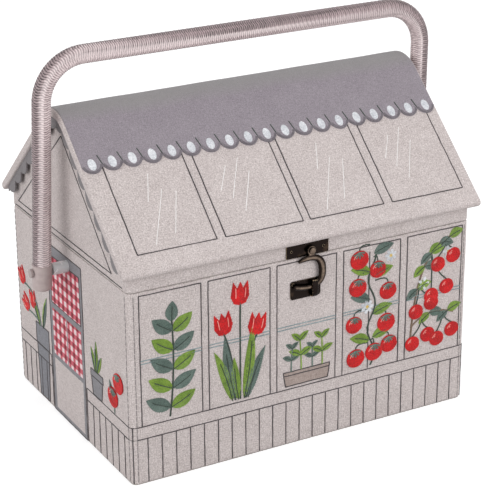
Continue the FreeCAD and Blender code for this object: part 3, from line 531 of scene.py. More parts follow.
def makeLidCover(outline, lengths):
    low = lidCloth["turnIn"][-1][1] * mm

    def upTo(share):
        return lambda p: (0.0, low + (undersideAt(p.y) + lidCloth["underRoof"] - low) * share)

    rows = [level(*at) for at in lidCloth["turnIn"]]
    rows += [upTo(i / lidCloth["rows"]) for i in range(1, lidCloth["rows"] + 1)]
    cover = sleeve("lid_cover_cloth", finishes["linen"], rows, outline, lengths)
    mount(thicken(cover, bodyCloth["thick"]), "lid", "linen", "lid_cover")


outside = roundedOutline(0.0, corner["radius"], bodyCloth["pitch"])
makeBodyCover(*outside)
makeLidCover(*outside)
print("body and lid cloth made")

roofCloth = {"slopeRows": 22, "bendRows": 14, "eaveRows": 6, "pitch": 6 * mm,
             "ends": [(0.0, 1.3), (0.15, 0.75), (0.5, 0.3), (1.1, 0.06), (2.0, 0.0)]}


def roofLoop(inset):
    # closed section, front eave round to the back over the outer face, then home along the underside
    half = roof["slab"] / 2
    span = roof["eave"] - roof["turn"]
    slope = [roof["eave"] - span * i / roofCloth["slopeRows"] for i in range(roofCloth["slopeRows"])]
    bend = [roof["turn"] * (1 - 2 * i / roofCloth["bendRows"]) for i in range(roofCloth["bendRows"] + 1)]
    stations = slope + bend + [-s for s in slope[::-1]]
    outer = [Vector(roofPoint(s, inset)[:2]) for s in stations]
    inner = [Vector(roofPoint(s, roof["slab"] - inset)[:2]) for s in stations[::-1]]
    lift = [math.radians(90) * (i + 0.5) / roofCloth["eaveRows"] for i in range(roofCloth["eaveRows"])]

    def eave(side, sign):  # quarter of the eave's round
        y, z, turn = roofPoint(side * roof["eave"], half)
        along = Vector((-math.cos(turn), -math.sin(turn))) * side
        out = Vector((-math.sin(turn), math.cos(turn)))
        return [Vector((y, z)) + (along * math.cos(a) + out * sign * math.sin(a)) * (half - inset)
                for a in lift[::sign]]

    loop = eave(1, 1)[:-1] + outer + eave(-1, 1)[:-1][::-1]
    return loop + eave(-1, -1)[1:][::-1] + inner + eave(1, -1)[1:]


def makeRoofCover():
    stations = [(-roof["half"] + x * mm, inset * mm) for x, inset in roofCloth["ends"]]
    count = int(2 * roof["half"] / roofCloth["pitch"])
    plain = roof["half"] - roofCloth["ends"][-1][0] * mm
    stations += [(-plain + 2 * plain * i / count, 0.0) for i in range(1, count)]
    stations += [(-x, inset) for x, inset in stations[:len(roofCloth["ends"])][::-1]]
    points, places = [], []
    for x, inset in stations:
        loop = roofLoop(inset)
        ring, along = [], [0.0]
        for i, spot in enumerate(loop):
            following = loop[(i + 1) % len(loop)]
            edge = (following - loop[i - 1]).normalized()
            p = Vector((x, spot.x, spot.y))
            normal = Vector((0, -edge.y, edge.x))
            normal = normal if normal.z * (1 if i < len(loop) / 2 else -1) > 0 else -normal
            ring.append(p + normal * (ripple(p) if inset == 0 else 0))
            along.append(along[-1] + (following - spot).length)
        points.append(ring)
        places.append([(x, s) for s in along])
    around = len(points[0])

    def closeEnds(shell):
        shell.verts.ensure_lookup_table()
        uv = shell.loops.layers.uv.active
        for row, way in ((0, 1), (len(points) - 1, -1)):
            start = row * around
            for k in range(around // 2 - 1):
                ring = [start + k, start + k + 1, start + around - 2 - k, start + around - 1 - k]
                face = shell.faces.new([shell.verts[i] for i in ring[::way]])
                face.smooth = False
                for loop in face.loops:
                    loop[uv].uv = (loop.vert.co.y, loop.vert.co.z)

    cover = sheetPiece("roof_cloth", points, places, finishes["linen"], wrap=True)
    reshape(cover.data, closeEnds, faceOut)
    mount(cover, "lid", "linen", "roof_cover")


makeRoofCover()

ridgeCap = {"half": 154.5 * mm, "notch": 61.5 * mm, "scallops": 19, "pitch": 16.26 * mm, "radius": 8.46 * mm,
            "steps": 14, "rows": 40, "margin": 0.8 * mm,
            "edge": [(0.0, -0.15), (0.0, 0.35), (0.25, 0.62), (0.7, 0.75)],
            "ends": [(0.0, -0.15), (0.0, 0.4), (0.3, 0.66)]}


def cappingReach(x):  # slope distance from the sharp apex to the scalloped edge
    start = -ridgeCap["scallops"] * ridgeCap["pitch"] / 2
    index = min(ridgeCap["scallops"] - 1, max(0, int((x - start) / ridgeCap["pitch"])))
    middle = start + (index + 0.5) * ridgeCap["pitch"]
    away = min(abs(x - middle), ridgeCap["radius"])
    return ridgeCap["notch"] + math.sqrt(max(0.0, ridgeCap["radius"] ** 2 - away ** 2))


def makeRidgeCap():
    start = -ridgeCap["half"]
    edge, full = ridgeCap["edge"], ridgeCap["edge"][-1][1]
    count = ridgeCap["scallops"] * ridgeCap["steps"]
    plain = -2 * start - 2 * ridgeCap["margin"]
    ends = [(start + x * mm, rise) for x, rise in ridgeCap["ends"]]
    columns = ends + [(start + ridgeCap["margin"] + plain * i / count, full) for i in range(count + 1)]
    columns += [(-x, rise) for x, rise in ends[::-1]]
    points, places = [], []
    for x, rise in columns:
        reach = cappingReach(x) - apexGain
        run = [(reach - inset * mm, height) for inset, height in edge]
        inner = run[-1][0]
        run += [(inner - 2 * inner * i / ridgeCap["rows"], full) for i in range(1, ridgeCap["rows"])]
        run += [(-s, height) for s, height in run[:len(edge)][::-1]]
        line = []
        for s, height in run:
            y, z, turn = roofPoint(s)
            line.append(onFace((x, y, z), (0, -math.sin(turn), math.cos(turn)), min(height, rise) * mm)[0])
        points.append(line)
        places.append([(x, s) for s, height in run])
    cap = sheetPiece("ridge_cap_cloth", points, places, finishes["greyCloth"])
    mount(cap, "lid", "grey_cloth", "ridge_capping")


makeRidgeCap()

bargeTrim = {"x": 153.2 * mm, "thick": 1.2, "half": 105 * mm, "depth": 3.5 * mm, "lobes": 8,
             "radius": 9.18 * mm, "pitch": 0.75 * mm, "rows": 5, "edge": 0.35, "underRoof": 0.3 * mm}


def bargeEdge(y):  # lowest point of the trim under the roof at this place
    low = undersideAt(y) - bargeTrim["depth"] / math.cos(roof["pitch"])
    for i in range(-bargeTrim["lobes"], bargeTrim["lobes"]):
        middle = bargeTrim["half"] * (i + 0.5) / bargeTrim["lobes"]
        away = abs(y - middle)
        if away < bargeTrim["radius"]:
            low = min(low, undersideAt(middle) - math.sqrt(bargeTrim["radius"] ** 2 - away ** 2))
    return low


def makeBargeTrim(side, name, node):
    count = int(2 * bargeTrim["half"] / bargeTrim["pitch"])
    points = []
    for i in range(count + 1):
        y = -bargeTrim["half"] + 2 * bargeTrim["half"] * i / count
        top, low = undersideAt(y) + bargeTrim["underRoof"], bargeEdge(y)
        points.append([Vector((side * bargeTrim["x"], y, low + (top - low) * k / bargeTrim["rows"]))
                       for k in range(bargeTrim["rows"] + 1)])
    places = [[(p.y, p.z) for p in line] for line in points]
    # the trim's cloth carries painted shade
    trim = sheetPiece(name, points, places, finishes["trimCloth"], flip=side > 0)
    softenEdges(thicken(trim, bargeTrim["thick"], 0.0), bargeTrim["edge"])
    mount(trim, "lid", "grey_cloth", node)


makeBargeTrim(-1, "barge_trim_left", "left_bargeboard")
makeBargeTrim(1, "barge_trim_right", "right_bargeboard")
print("roof cloth, ridge cap and barge trim made")

innerCloth = {"inset": 6.6 * mm, "radius": 3 * mm, "pitch": 8 * mm, "rows": 12, "thick": 0.3,
              "rim": [(-0.35, 151.0), (-0.1, 151.5), (0.1, 151.4)], "wall": (0.12, 150.7, 12),
              "floor": [(0.3, 7.3), (1.2, 6.15), (2.6, 5.9)], "floorEdge": 10 * mm}


def makeBodyLining():
    outline, lengths = roundedOutline(innerCloth["inset"], innerCloth["radius"], innerCloth["pitch"])
    inset, top, step = innerCloth["wall"]
    wall = [(inset, top - i * step) for i in range(innerCloth["rows"])]
    rows = [level(*at) for at in innerCloth["rim"] + wall + innerCloth["floor"]]

    def closeFloor(shell):
        uv = shell.loops.layers.uv.active
        rim = [e for e in shell.edges if e.is_boundary and e.verts[0].co.z < innerCloth["floorEdge"]]
        for face in bmesh.ops.contextual_create(shell, geom=rim)["faces"]:
            for loop in face.loops:
                loop[uv].uv = (loop.vert.co.x, loop.vert.co.y)

    def faceIn(shell):
        faceOut(shell)
        bmesh.ops.reverse_faces(shell, faces=shell.faces[:])

    sheet = sleeve("body_lining_cloth", finishes["lining"], rows, outline, lengths)
    reshape(sheet.data, closeFloor, faceIn)
    mount(thicken(sheet, innerCloth["thick"]), "box", "lining", "body_lining")


lidInside = {"inset": 6.0 * mm, "clear": 0.25 * mm, "low": 160.5 * mm, "rows": 36, "columns": 24,
             "fold": 0.999, "join": 1e-6}


def makeLidLining():
    # roof's inside, down both gables and both rails, as one sheet
    halfX, halfY = halfWidth - lidInside["inset"], halfDepth - lidInside["inset"]
    depth = roof["slab"] + lidInside["clear"]
    run = halfY - (roof["bend"] - depth) * math.sin(roof["pitch"])
    station = roof["turn"] + run / math.cos(roof["pitch"])
    low, rows, columns = lidInside["low"], lidInside["rows"], lidInside["columns"]
    section = [roofPoint(station * (1 - 2 * i / rows), depth)[:2] for i in range(rows + 1)]
    section = [(section[0][0], low)] + section + [(section[-1][0], low)]
    along = [0.0]
    for a, b in zip(section, section[1:]):
        along.append(along[-1] + math.dist(a, b))
    shares = [-1 + 2 * i / columns for i in range(1, columns)]
    points, places = [], []
    for share in [-1.0, -lidInside["fold"]] + shares + [lidInside["fold"], 1.0]:
        end = abs(share) == 1.0
        points.append([Vector((share * halfX, y, low if end else z)) for y, z in section])
        places.append([(share * halfX, s + (low if end else 0)) for s in along])
    sheet = sheetPiece("lid_lining_cloth", points, places, finishes["lining"], flip=True)
    reshape(sheet.data, merge(lidInside["join"]))
    mount(sheet, "lid", "lining", "lid_lining")


makeBodyLining()
makeLidLining()
print("linings made")


# threads, lines and prints, drawn in millimetres across (u) and up (v) each face of the cloth

stitches, inkRuns, patches = {}, {}, {}
rng = random.Random(7)
lidSeam = 155.8
sewing = {"pitch": 0.72, "reach": 6.0, "ragged": 0.15, "brick": 0.25, "shuffle": 0.3, "stemGap": 0.28,
          "stemLap": 0.25}
lifts = {"ink": 0.06, "glint": 0.05, "print": 0.1, "rim": 0.18, "stem": 0.12, "thread": 0.22,
         "fruit": 0.32, "vein": 0.62, "petal": 0.65, "gleam": 0.92, "calyx": 1.0, "cap": 0.9,
         "edging": 0.78, "seam": -0.12}


def bodyOf(face, v):
    return "lid" if face.endswith("Roof") or v > lidSeam else "box"


def onCloth(face, spot, lift):
    return surfaces[face](spot[0] * mm, spot[1] * mm, lift * mm)


def sew(face, thread, a, b, lift=lifts["thread"]):
    start, _ = onCloth(face, a, lift)
    end, out = onCloth(face, b, lift)
    stitches.setdefault((bodyOf(face, a[1]), thread), []).append((start, end, out))


def ink(face, points, pen="ink"):
    run = [onCloth(face, p, lifts["ink"])[0] for p in points]
    sides = inkRuns.setdefault((bodyOf(face, points[0][1]), pen), [])
    sides += [[a, b] for a, b in zip(run, run[1:])]


def inkRound(face, outline):
    ink(face, outline + outline[:1])


def patch(face, outline, finish, lift=lifts["print"]):
    patches.setdefault((bodyOf(face, outline[0][1]), finish), []).append((face, outline, lift))


def oblong(left, low, right, high):
    return [(left, low), (right, low), (right, high), (left, high)]


def rowsAcross(outline, pitch):  # level rows over an outline: each row's height and its cuts
    low, high = min(v for u, v in outline), max(v for u, v in outline)
    count = max(1, round((high - low) / pitch))
    for row in range(count):
        height = low + (row + 0.5) * (high - low) / count
        sides = zip(outline, outline[1:] + outline[:1])
        yield height, sorted(u0 + (u1 - u0) * (height - v0) / (v1 - v0)
                             for (u0, v0), (u1, v1) in sides if (v0 <= height) != (v1 <= height))


def fillStitch(face, outline, angle, thread, pitch=sewing["pitch"], over=0.0):
    # rows of stitches across an outline, long rows broken like bricks
    c, s = math.cos(angle), math.sin(angle)
    reach, ragged = sewing["reach"], sewing["ragged"]
    patch(face, outline, thread, lifts["print"] + over)
    turned = [(u * c + v * s, -u * s + v * c) for u, v in outline]
    for row, (height, cuts) in enumerate(rowsAcross(turned, pitch)):
        shift = reach * sewing["brick"] if row % 2 else 0.0
        for start, end in zip(cuts[::2], cuts[1::2]):
            count = max(1, math.ceil((end - start) / reach))
            marks = [start - ragged * rng.random()]
            marks += [start + (end - start) * k / count + shift * (0.5 - rng.random() * sewing["shuffle"])
                      for k in range(1, count)]
            marks.append(end + ragged * rng.random())
            ends = [(x * c - height * s, x * s + height * c) for x in marks]
            for a, b in zip(ends, ends[1:]):
                sew(face, thread, a, b, lifts["thread"] + over)


def curveThrough(a, b, c, count):  # smooth bend from a to c, drawn towards b
    marks = [k / count for k in range(count + 1)]
    return [tuple((1 - t) ** 2 * p + 2 * t * (1 - t) * q + t * t * r for p, q, r in zip(a, b, c))
            for t in marks]


def around(centre, radius, angle):
    return (centre[0] + radius * math.cos(angle), centre[1] + radius * math.sin(angle))


def disc(centre, radiusU, radiusV, turn=0.0, count=18):
    spots = []
    for k in range(count):
        a = 2 * math.pi * k / count
        u, v = radiusU * math.cos(a), radiusV * math.sin(a)
        spots.append((centre[0] + u * math.cos(turn) - v * math.sin(turn),
                      centre[1] + u * math.sin(turn) + v * math.cos(turn)))
    return spots


def stem(face, points, thread, width=1.0):  # two threads side by side
    for a, b in zip(points, points[1:]):
        along = Vector((b[0] - a[0], b[1] - a[1]))
        side = Vector((-along.y, along.x)).normalized() * width * sewing["stemGap"]
        more = along * sewing["stemLap"]
        for shift in (-side, side):
            sew(face, thread, (a[0] + shift.x, a[1] + shift.y),
                (b[0] + shift.x + more.x, b[1] + shift.y + more.y), lifts["stem"])


leafShape = {"steps": 12, "fullness": 0.82, "bluntness": 0.9, "slant": 0.6, "vein": (0, 3, 6, 9)}


def leaf(face, base, tip, width, threads, bend=0.0, slant=leafShape["slant"]):
    # one thread for both halves, or two, and a vein that stops short of the tip
    first, second = (threads, threads) if isinstance(threads, str) else threads
    axis = Vector((tip[0] - base[0], tip[1] - base[1]))
    side = Vector((-axis.y, axis.x)).normalized()
    middle = Vector(base) + axis * 0.5 + side * bend
    steps, full, blunt = (leafShape[key] for key in ("steps", "fullness", "bluntness"))
    spine = [Vector(p) for p in curveThrough(base, tuple(middle), tip, steps)]
    heading = math.atan2(axis.y, axis.x)
    for sign, thread in ((1, first), (-1, second)):
        edge = [p + side * sign * width / 2 * math.sin(math.pi * (k / steps) ** full) ** blunt
                for k, p in enumerate(spine)]
        outline = [tuple(p) for p in spine + edge[-2:0:-1]]
        fillStitch(face, outline, heading + sign * slant, thread)
    knots = [spine[k] for k in leafShape["vein"]]
    for a, b in zip(knots, knots[1:]):
        sew(face, "vein", a, b, lifts["vein"])


fruitShape = {"squash": 0.94, "slant": 1.2, "gleams": [(0.66, 1.9, 2.9), (0.48, 2.15, 2.65)], "top": 0.82,
              "sepals": 5, "sepal": 0.66, "fan": 0.62, "split": 0.1}
daisyShape = {"ring": 0.62, "petal": (0.42, 0.24), "heart": 0.26, "heartSlant": 0.3, "sides": 10}


def fruit(face, centre, size, turn=0.0, calyx=True):
    shape = disc(centre, size, size * fruitShape["squash"], turn)
    fillStitch(face, shape, turn + fruitShape["slant"], "red", over=lifts["fruit"])
    for ring, first, last in fruitShape["gleams"]:  # on the upper left
        spots = [around(centre, size * ring, first + (last - first) * k / 3) for k in range(4)]
        for a, b in zip(spots, spots[1:]):
            sew(face, "blush", a, b, lifts["gleam"])
    top = (centre[0] - math.sin(turn) * size * fruitShape["top"],
           centre[1] + math.cos(turn) * size * fruitShape["top"])
    for k in range(fruitShape["sepals"] if calyx else 0):
        a = turn + math.pi * 1.5 + (k - fruitShape["sepals"] // 2) * fruitShape["fan"]
        for split in (-fruitShape["split"], fruitShape["split"]):
            sew(face, "slate", top, around(top, size * fruitShape["sepal"], a + split), lifts["calyx"])


def daisy(face, centre, size, petals=7, turn=0.0):
    for k in range(petals):
        a = turn + 2 * math.pi * k / petals
        spot = around(centre, size * daisyShape["ring"], a)
        long, wide = (size * part for part in daisyShape["petal"])
        fillStitch(face, disc(spot, long, wide, a, daisyShape["sides"]), a, "white")
    heart = size * daisyShape["heart"]
    fillStitch(face, disc(centre, heart, heart, 0, daisyShape["sides"]), daisyShape["heartSlant"], "yellow")


tulipShape = {
    "outer": [(0, -0.9), (0.5, -0.75), (0.78, -0.2), (0.7, 0.45), (0.62, 1.0), (0.3, 0.5), (0.1, 0.0)],
    "middle": [(0, -0.85), (0.34, -0.4), (0.36, 0.2), (0, 0.95), (-0.36, 0.2), (-0.34, -0.4)],
    "gleams": [((-0.38, -0.3), (-0.42, 0.5)), ((0.4, -0.3), (0.44, 0.45))]}


def tulip(face, centre, size, turn=0.0):  # two outer petals and one between them
    c, s = math.cos(turn), math.sin(turn)

    def spot(u, v):
        return (centre[0] + (u * c - v * s) * size, centre[1] + (u * s + v * c) * size)

    for sign in (-1, 1):
        petal = [spot(sign * u, v) for u, v in tulipShape["outer"]]
        fillStitch(face, petal[::sign], turn + 1.4 * sign, "red")
    fillStitch(face, [spot(*at) for at in tulipShape["middle"]], turn + math.pi / 2, "red", 0.6)
    for a, b in tulipShape["gleams"]:
        sew(face, "blush", spot(*a), spot(*b), lifts["petal"])


potShape = {"neck": 0.72, "foot": 0.36, "shoulder": 0.46, "rim": 0.5}


def pot(face, centre, width, height, finish="potPrint"):
    u, v = centre
    neck = v + height * potShape["neck"]
    foot, shoulder, lip = (width * potShape[key] for key in ("foot", "shoulder", "rim"))
    body = [(u - foot, v), (u + foot, v), (u + shoulder, neck), (u - shoulder, neck)]
    rim = oblong(u - lip, neck, u + lip, v + height)
    patch(face, body, finish)
    patch(face, rim, finish, lifts["rim"])
    inkRound(face, body)
    inkRound(face, rim)


def sprout(face, base, height, thread, lean=0.0):
    top = (base[0] + lean, base[1] + height)
    root = (base[0] + lean * 0.4, base[1] + height * 0.5)
    stem(face, curveThrough(base, (base[0], base[1] + height * 0.6), top, 4), thread, 0.8)
    for sign in (-1, 1):
        for at, out, up, wide in ((root, 0.42, 0.2, 0.22), (top, 0.3, 0.26, 0.2)):
            leaf(face, at, (at[0] + sign * height * out, at[1] + height * up), height * wide, thread, sign)


wall = {"sill": (37.6, 47.9), "top": 153.1, "wire": (99.0, 101.4), "plank": 12.0, "foot": 1.5, "mitre": 3.9}


def drawDado(face, left, right):  # planks under a sill
    low, high = wall["sill"]
    for v in wall["sill"]:
        ink(face, [(left, v), (left + wall["mitre"], v), (right - wall["mitre"], v), (right, v)])
    count = max(1, round((right - left) / wall["plank"]))
    for k in range(count + 1):
        u = left + (right - left) * k / count
        ink(face, [(u, wall["foot"]), (u, low)])
    for u in (left, right):
        ink(face, [(u, low), (u, high)])


def drawWindows(face, spans, edge):
    foot, top = wall["sill"][1], wall["top"]
    for left, right in spans:
        ink(face, [(left, foot), (left, top), (right, top), (right, foot)])
        for v in wall["wire"]:
            ink(face, [(left, v), (right, v)], "wire")
    drawDado(face, -edge, edge)


def branch(face, root, crown, pairs, threads, bend, size=24.0, width=11.4):
    spine = curveThrough(root, ((root[0] + crown[0]) / 2 + bend, (root[1] + crown[1]) / 2), crown, 20)
    stem(face, spine, "vein", 1.2)
    for k in range(pairs):
        t = (k + 0.55) / pairs
        p = spine[min(19, int(t * 20))]
        long = size * (1.0 - 0.24 * t)
        for sign in (-1, 1):
            tip = (p[0] + sign * long * 0.88, p[1] + long * (0.4 + 0.25 * t))
            leaf(face, p, tip, width, threads[(k + (sign > 0)) % 2], sign * -1.6)
    leaf(face, spine[-1], (crown[0] + 1, crown[1] + 16), width * 0.9, threads[0], 0.6)


def leafFan(face, u, v, leaves, width, spread=1.0):  # leaves out of a pot
    for shift, height in leaves:
        tip = (u + shift * spread, v + height)
        leaf(face, (u + shift * 0.3, v), tip, width, ("slate", "green"), shift * 0.2)


def tulipBed(face, middle, floor):
    blades = [(-22, 44, -3), (-13, 54, 3), (11, 62, -3), (22, 40, 3), (-5, 36, 2), (16, 26, 2)]
    for k, (shift, height, bend) in enumerate(blades):
        tip = (middle + shift, floor + height)
        leaf(face, (middle + shift * 0.3, floor), tip, 8.4, ("green", "slate")[k % 2], bend, 0.4)
    for shift, height, turn in ((-14.0, 58.0, 0.16), (0.5, 80.0, -0.04), (15.0, 52.0, -0.18)):
        foot = (middle + shift * 0.3, floor)
        head = (middle + shift, floor + height)
        stem(face, curveThrough(foot, (foot[0], floor + height * 0.6), head, 12), "vein", 1.2)
        tulip(face, (head[0], head[1] + 7), 10.0, turn)


def vine(face, middle, floor):
    ink(face, [(middle - 2.5, floor - 2), (middle - 2.5, floor + 97)])
    stem(face, [(middle + 3.5 * math.sin(k * 0.7), floor + k * 4.7) for k in range(21)], "vein", 1.2)
    for height, sign in ((22, -1), (24, 1), (44, 1), (57, -1), (76, 1), (80, -1), (95, 1)):
        root = (middle + 1.5 * sign, floor + height)
        thread = ("slate", "green")[(height + sign) % 2]
        leaf(face, root, (root[0] + sign * 18, root[1] + 5), 8.8, thread, sign * 1.5)
    spots = [(-14, 9), (3, 11), (17, 15), (-16, 38), (14, 34), (-13, 69), (15, 61), (5, 81), (-12, 92)]
    for k, (shift, height) in enumerate(spots):
        root = (middle + shift * 0.2, floor + height + 11)
        spot = (middle + shift, floor + height)
        stem(face, curveThrough(root, (spot[0], root[1] + 2), (spot[0], spot[1] + 7), 5), "vein", 0.7)
        fruit(face, spot, 8.2 - 0.25 * (k % 4), 0.12 * (-1) ** k)
    daisy(face, (middle - 4, floor + 51), 5.8)
    daisy(face, (middle + 17, floor + 90), 5.2, 7, 0.4)


def cherryBough(face, left, floor, width):
    bough = curveThrough((left + 4, floor + 3), (left + 5, floor + 92), (left + width - 8, floor + 96), 22)
    low = curveThrough((left + 4, floor + 24), (left + 20, floor + 40), (left + 44, floor + 30), 10)
    stem(face, bough, "brown", 1.7)
    stem(face, low, "brown", 1.3)
    threads = ("green", "slate")
    for k, p in enumerate([bough[i] for i in (8, 12, 15, 18, 21)] + [low[5], low[9]]):
        pick = k % 2
        leaf(face, p, (p[0] + 13, p[1] + 4 - 6 * pick), 8.0, threads[pick], 1.6)
        leaf(face, p, (p[0] - 10, p[1] - 8), 7.0, threads[1 - pick], -1.4)
    pairs = [(bough[9], 22, 5), (bough[15], 34, 8), (bough[20], 18, 0), (low[3], 19, -1), (low[8], 21, 2)]
    for p, drop, shift in pairs:
        for sign in (-1, 1):
            spot = (p[0] + sign * 7.2 + shift, p[1] - drop + sign * 2.6)
            stem(face, curveThrough(p, (p[0] + 1, p[1] - drop * 0.4), (spot[0], spot[1] + 6), 5), "vein", 0.7)
            fruit(face, spot, 6.7, 0.1 * sign, False)
    for u, v, size, turn in ((15, 60, 5.6, 0.0), (38, 83, 5.2, 0.5), (10, 38, 4.8, 0.9)):
        daisy(face, (left + u, floor + v), size, 5, turn)


def troughOfSprouts(face, middle, floor):
    rim = floor + 12
    outline = [(middle - 19, floor), (middle + 19, floor), (middle + 21, rim), (middle - 21, rim)]
    patch(face, outline, "potPrint")
    inkRound(face, outline)
    ink(face, [(middle - 20.4, floor + 9), (middle + 20.4, floor + 9)])
    for shift, height, thread in ((-14, 19, "slate"), (-5, 25, "green"), (5, 17, "slate"), (14, 23, "green")):
        sprout(face, (middle + shift, rim), height, thread, rng.uniform(-1.5, 1.5))


panes = [(-141.2, -90.5), (-84.6, -32.1), (-26.1, 26.4), (32.9, 84.9), (91.5, 143.4)]
wideEdge, sideEdge, ledge = 148.9, 106.9, 50.5
drawWindows("front", panes, wideEdge)
branch("front", (-118, 51), (-115, 128), 5, ("slate", "green"), 4)
tulipBed("front", -58.3, ledge)
troughOfSprouts("front", 0.5, ledge)
vine("front", 59.0, 51.0)
cherryBough("front", 92.5, ledge, 50)

door = {"left": -38.0, "right": 26.5, "foot": 1.2, "top": 147.0, "frame": 4.6, "head": 9.0, "step": 4.2,
        "mid": (92.5, 97.5), "low": (49.0, 53.0), "bar": 0.8}


def drawDoor(face):
    left, right, foot, top = (door[key] for key in ("left", "right", "foot", "top"))
    start, end = left + door["frame"], right - door["frame"]
    head, middle = top - door["head"], (start + end) / 2
    (midLow, midHigh), (lowLow, lowHigh) = door["mid"], door["low"]
    barLeft, barRight = middle - door["bar"], middle + door["bar"]
    frames = [(left, foot, start, top), (end, foot, right, top), (start, head, end, top),
              (start, foot, end, door["step"]), (start, midLow, end, midHigh), (start, lowLow, end, lowHigh)]
    cloths = [(start, midHigh, end, head), (start, lowHigh, barLeft, midLow),
              (barRight, lowHigh, end, midLow)]
    for finish, shapes in (("framePrint", frames), ("gingham", cloths),
                           ("framePrint", [(barLeft, lowHigh, barRight, midLow)])):
        for shape in shapes:
            patch(face, oblong(*shape), finish)
    inkRound(face, oblong(left, foot, right, top))
    inkRound(face, oblong(start, midHigh, end, head))


drawDoor("left")
drawDado("left", 28.5, sideEdge)
drawDado("left", -sideEdge, -40.0)
pot("left", (-57, 2.5), 26, 64, "darkPrint")
leaf("left", (-60, 66), (-74, 84), 6.0, ("slate", "green"), -2)
leaf("left", (-54, 66), (-45, 96), 6.4, ("green", "slate"), 2)
for u, v, turn in ((-95, 98, 0.5), (-89, 76, 1.0), (-74, 84, 0.25)):
    stem("left", curveThrough((-59, 66), (-64, v - 4), (u + 4, v - 5), 8), "slate", 1.2)
    tulip("left", (u, v), 8.4, turn)
pot("left", (49, 48.6), 22, 21, "framePrint")
leafFan("left", 49, 70, ((-6, 18), (0, 26), (6, 16)), 5.4, 1.6)
stem("left", curveThrough((80, 49), (80, 70), (86, 84), 8), "slate")
leaf("left", (80, 60), (72, 74), 5.0, "slate", 1)
fruit("left", (88, 77), 8.6, 0.2)
fruit("left", (78, 62), 8.6, -0.2)

cornerSeam = {"inset": 4.6, "foot": 2.5, "stitch": 4.4, "pitch": 5.05, "count": 30}
for face, half in (("front", 150), ("back", 150), ("left", 108), ("right", 108)):
    for u in (cornerSeam["inset"] - half, half - cornerSeam["inset"]):
        for k in range(cornerSeam["count"]):
            v = cornerSeam["foot"] + k * cornerSeam["pitch"]
            sew(face, "seam", (u, v), (u, v + cornerSeam["stitch"]), lifts["seam"])
print("front and left prints drawn")

drawWindows("back", panes, wideEdge)
for k, (left, right) in enumerate(panes):
    middle = (left + right) / 2
    if k % 2:
        pot("back", (middle, ledge), 22, 18)
        leafFan("back", middle, 68.5, ((-10, 26), (-3, 38), (5, 32), (11, 22)), 6.0)
    else:
        branch("back", (middle - 3, 52), (middle + 3, 122), 4, ("green", "slate"), -4)

sidePanes = [(-98, -52), (-46, -3), (3, 46), (52, 98)]
drawWindows("right", sidePanes, sideEdge)
for k, (left, right) in enumerate(sidePanes):
    middle = (left + right) / 2
    if k in (0, 3):
        branch("right", (middle - 2, 52), (middle + 2, 118), 4, ("slate", "green"), 3, 20.0, 8.6)
    else:
        pot("right", (middle, ledge), 20, 17)
        stem("right", curveThrough((middle, 67), (middle, 84), (middle + 1, 96), 8), "green")
        leaf("right", (middle, 74), (middle - 13, 86), 6, ("green", "slate"), 2)
        leaf("right", (middle, 74), (middle + 13, 84), 6, ("slate", "green"), -2)
        tulip("right", (middle + 1, 103), 7.2)

roofMarks = {"panes": [(-138.9, -74.3), (-66.8, -0.9), (5.4, 71.0), (79.0, 145.0)], "top": -64.0,
             "foot": -140.0, "oval": (3.15, 4.8), "ovalAt": -62.6, "ovalPitch": 0.66, "edging": (1.9, 0.1),
             "edgingPitch": 0.62, "notchLine": 7.5, "notchSteps": 4, "notchLean": 0.45, "notchLap": 1.15,
             "notchInset": 0.6, "glintSteps": 6,
             "glints": [[(32, 78, 24, 100), (38, 92, 17, 135), (48.5, 95.5, 35, 129)],
                        [(22.5, 83, 11.5, 102), (35, 78, 18, 110.5), (40, 90.6, 24, 122.4)]]}


def drawPanes(face):  # the glints' strokes run from the pane's left, down the slope
    top, foot, count = roofMarks["top"], roofMarks["foot"], roofMarks["glintSteps"]
    for k, (left, right) in enumerate(roofMarks["panes"]):
        ink(face, [(left, top), (left, foot), (right, foot), (right, top)])
        for a, b, c, d in roofMarks["glints"][k % 2]:
            marks = [(left + a + (c - a) * i / count, -b - (d - b) * i / count) for i in range(count + 1)]
            stroke = [onCloth(face, p, lifts["glint"])[0] for p in marks]
            inkRuns.setdefault(("lid", "glint"), []).append(stroke)


def sewCapping(face):  # an oval on each scallop, a sewn edge, and a short line at each notch
    pitch, radius, notch = (ridgeCap[key] / mm for key in ("pitch", "radius", "notch"))
    first = -ridgeCap["scallops"] * pitch / 2
    sweep = math.acos(pitch / 2 / radius)  # where one scallop meets the next
    count = round((math.pi - 2 * sweep) * radius / roofMarks["edgingPitch"])
    rise, lean = roofMarks["notchLine"] / roofMarks["notchSteps"], roofMarks["notchLean"]
    depth = notch + math.sin(sweep) * radius - roofMarks["notchInset"]
    for k in range(ridgeCap["scallops"]):
        u = first + (k + 0.5) * pitch
        oval = disc((u, roofMarks["ovalAt"]), *roofMarks["oval"], 0, 20)
        for height, cuts in rowsAcross(oval, roofMarks["ovalPitch"]):
            sew(face, "white", (cuts[0], height), (cuts[-1], height), lifts["cap"])
        for i in range(count + 1):
            angle = -sweep - (math.pi - 2 * sweep) * i / count
            ends = [around((u, -notch), radius - inset, angle) for inset in roofMarks["edging"]]
            sew(face, "edging", *ends, lifts["edging"])
        for step in range(roofMarks["notchSteps"] if k else 0):
            a = (first + k * pitch - lean * step, -depth + rise * step)
            sew(face, "vein", a, (a[0] - lean, a[1] + rise * roofMarks["notchLap"]), lifts["cap"])


for face in ("frontRoof", "backRoof"):
    drawPanes(face)
    sewCapping(face)

for face in ("left", "right"):  # the gables
    inkRound(face, [(-93.7, 163.5), (82.7, 163.5), (0, 245)])
    ink(face, [(-100, 158.6), (100, 158.6)])
print("prints drawn:", sum(len(v) for v in stitches.values()), "stitches")


# geometry nodes for the threads, the lines and the wound handle

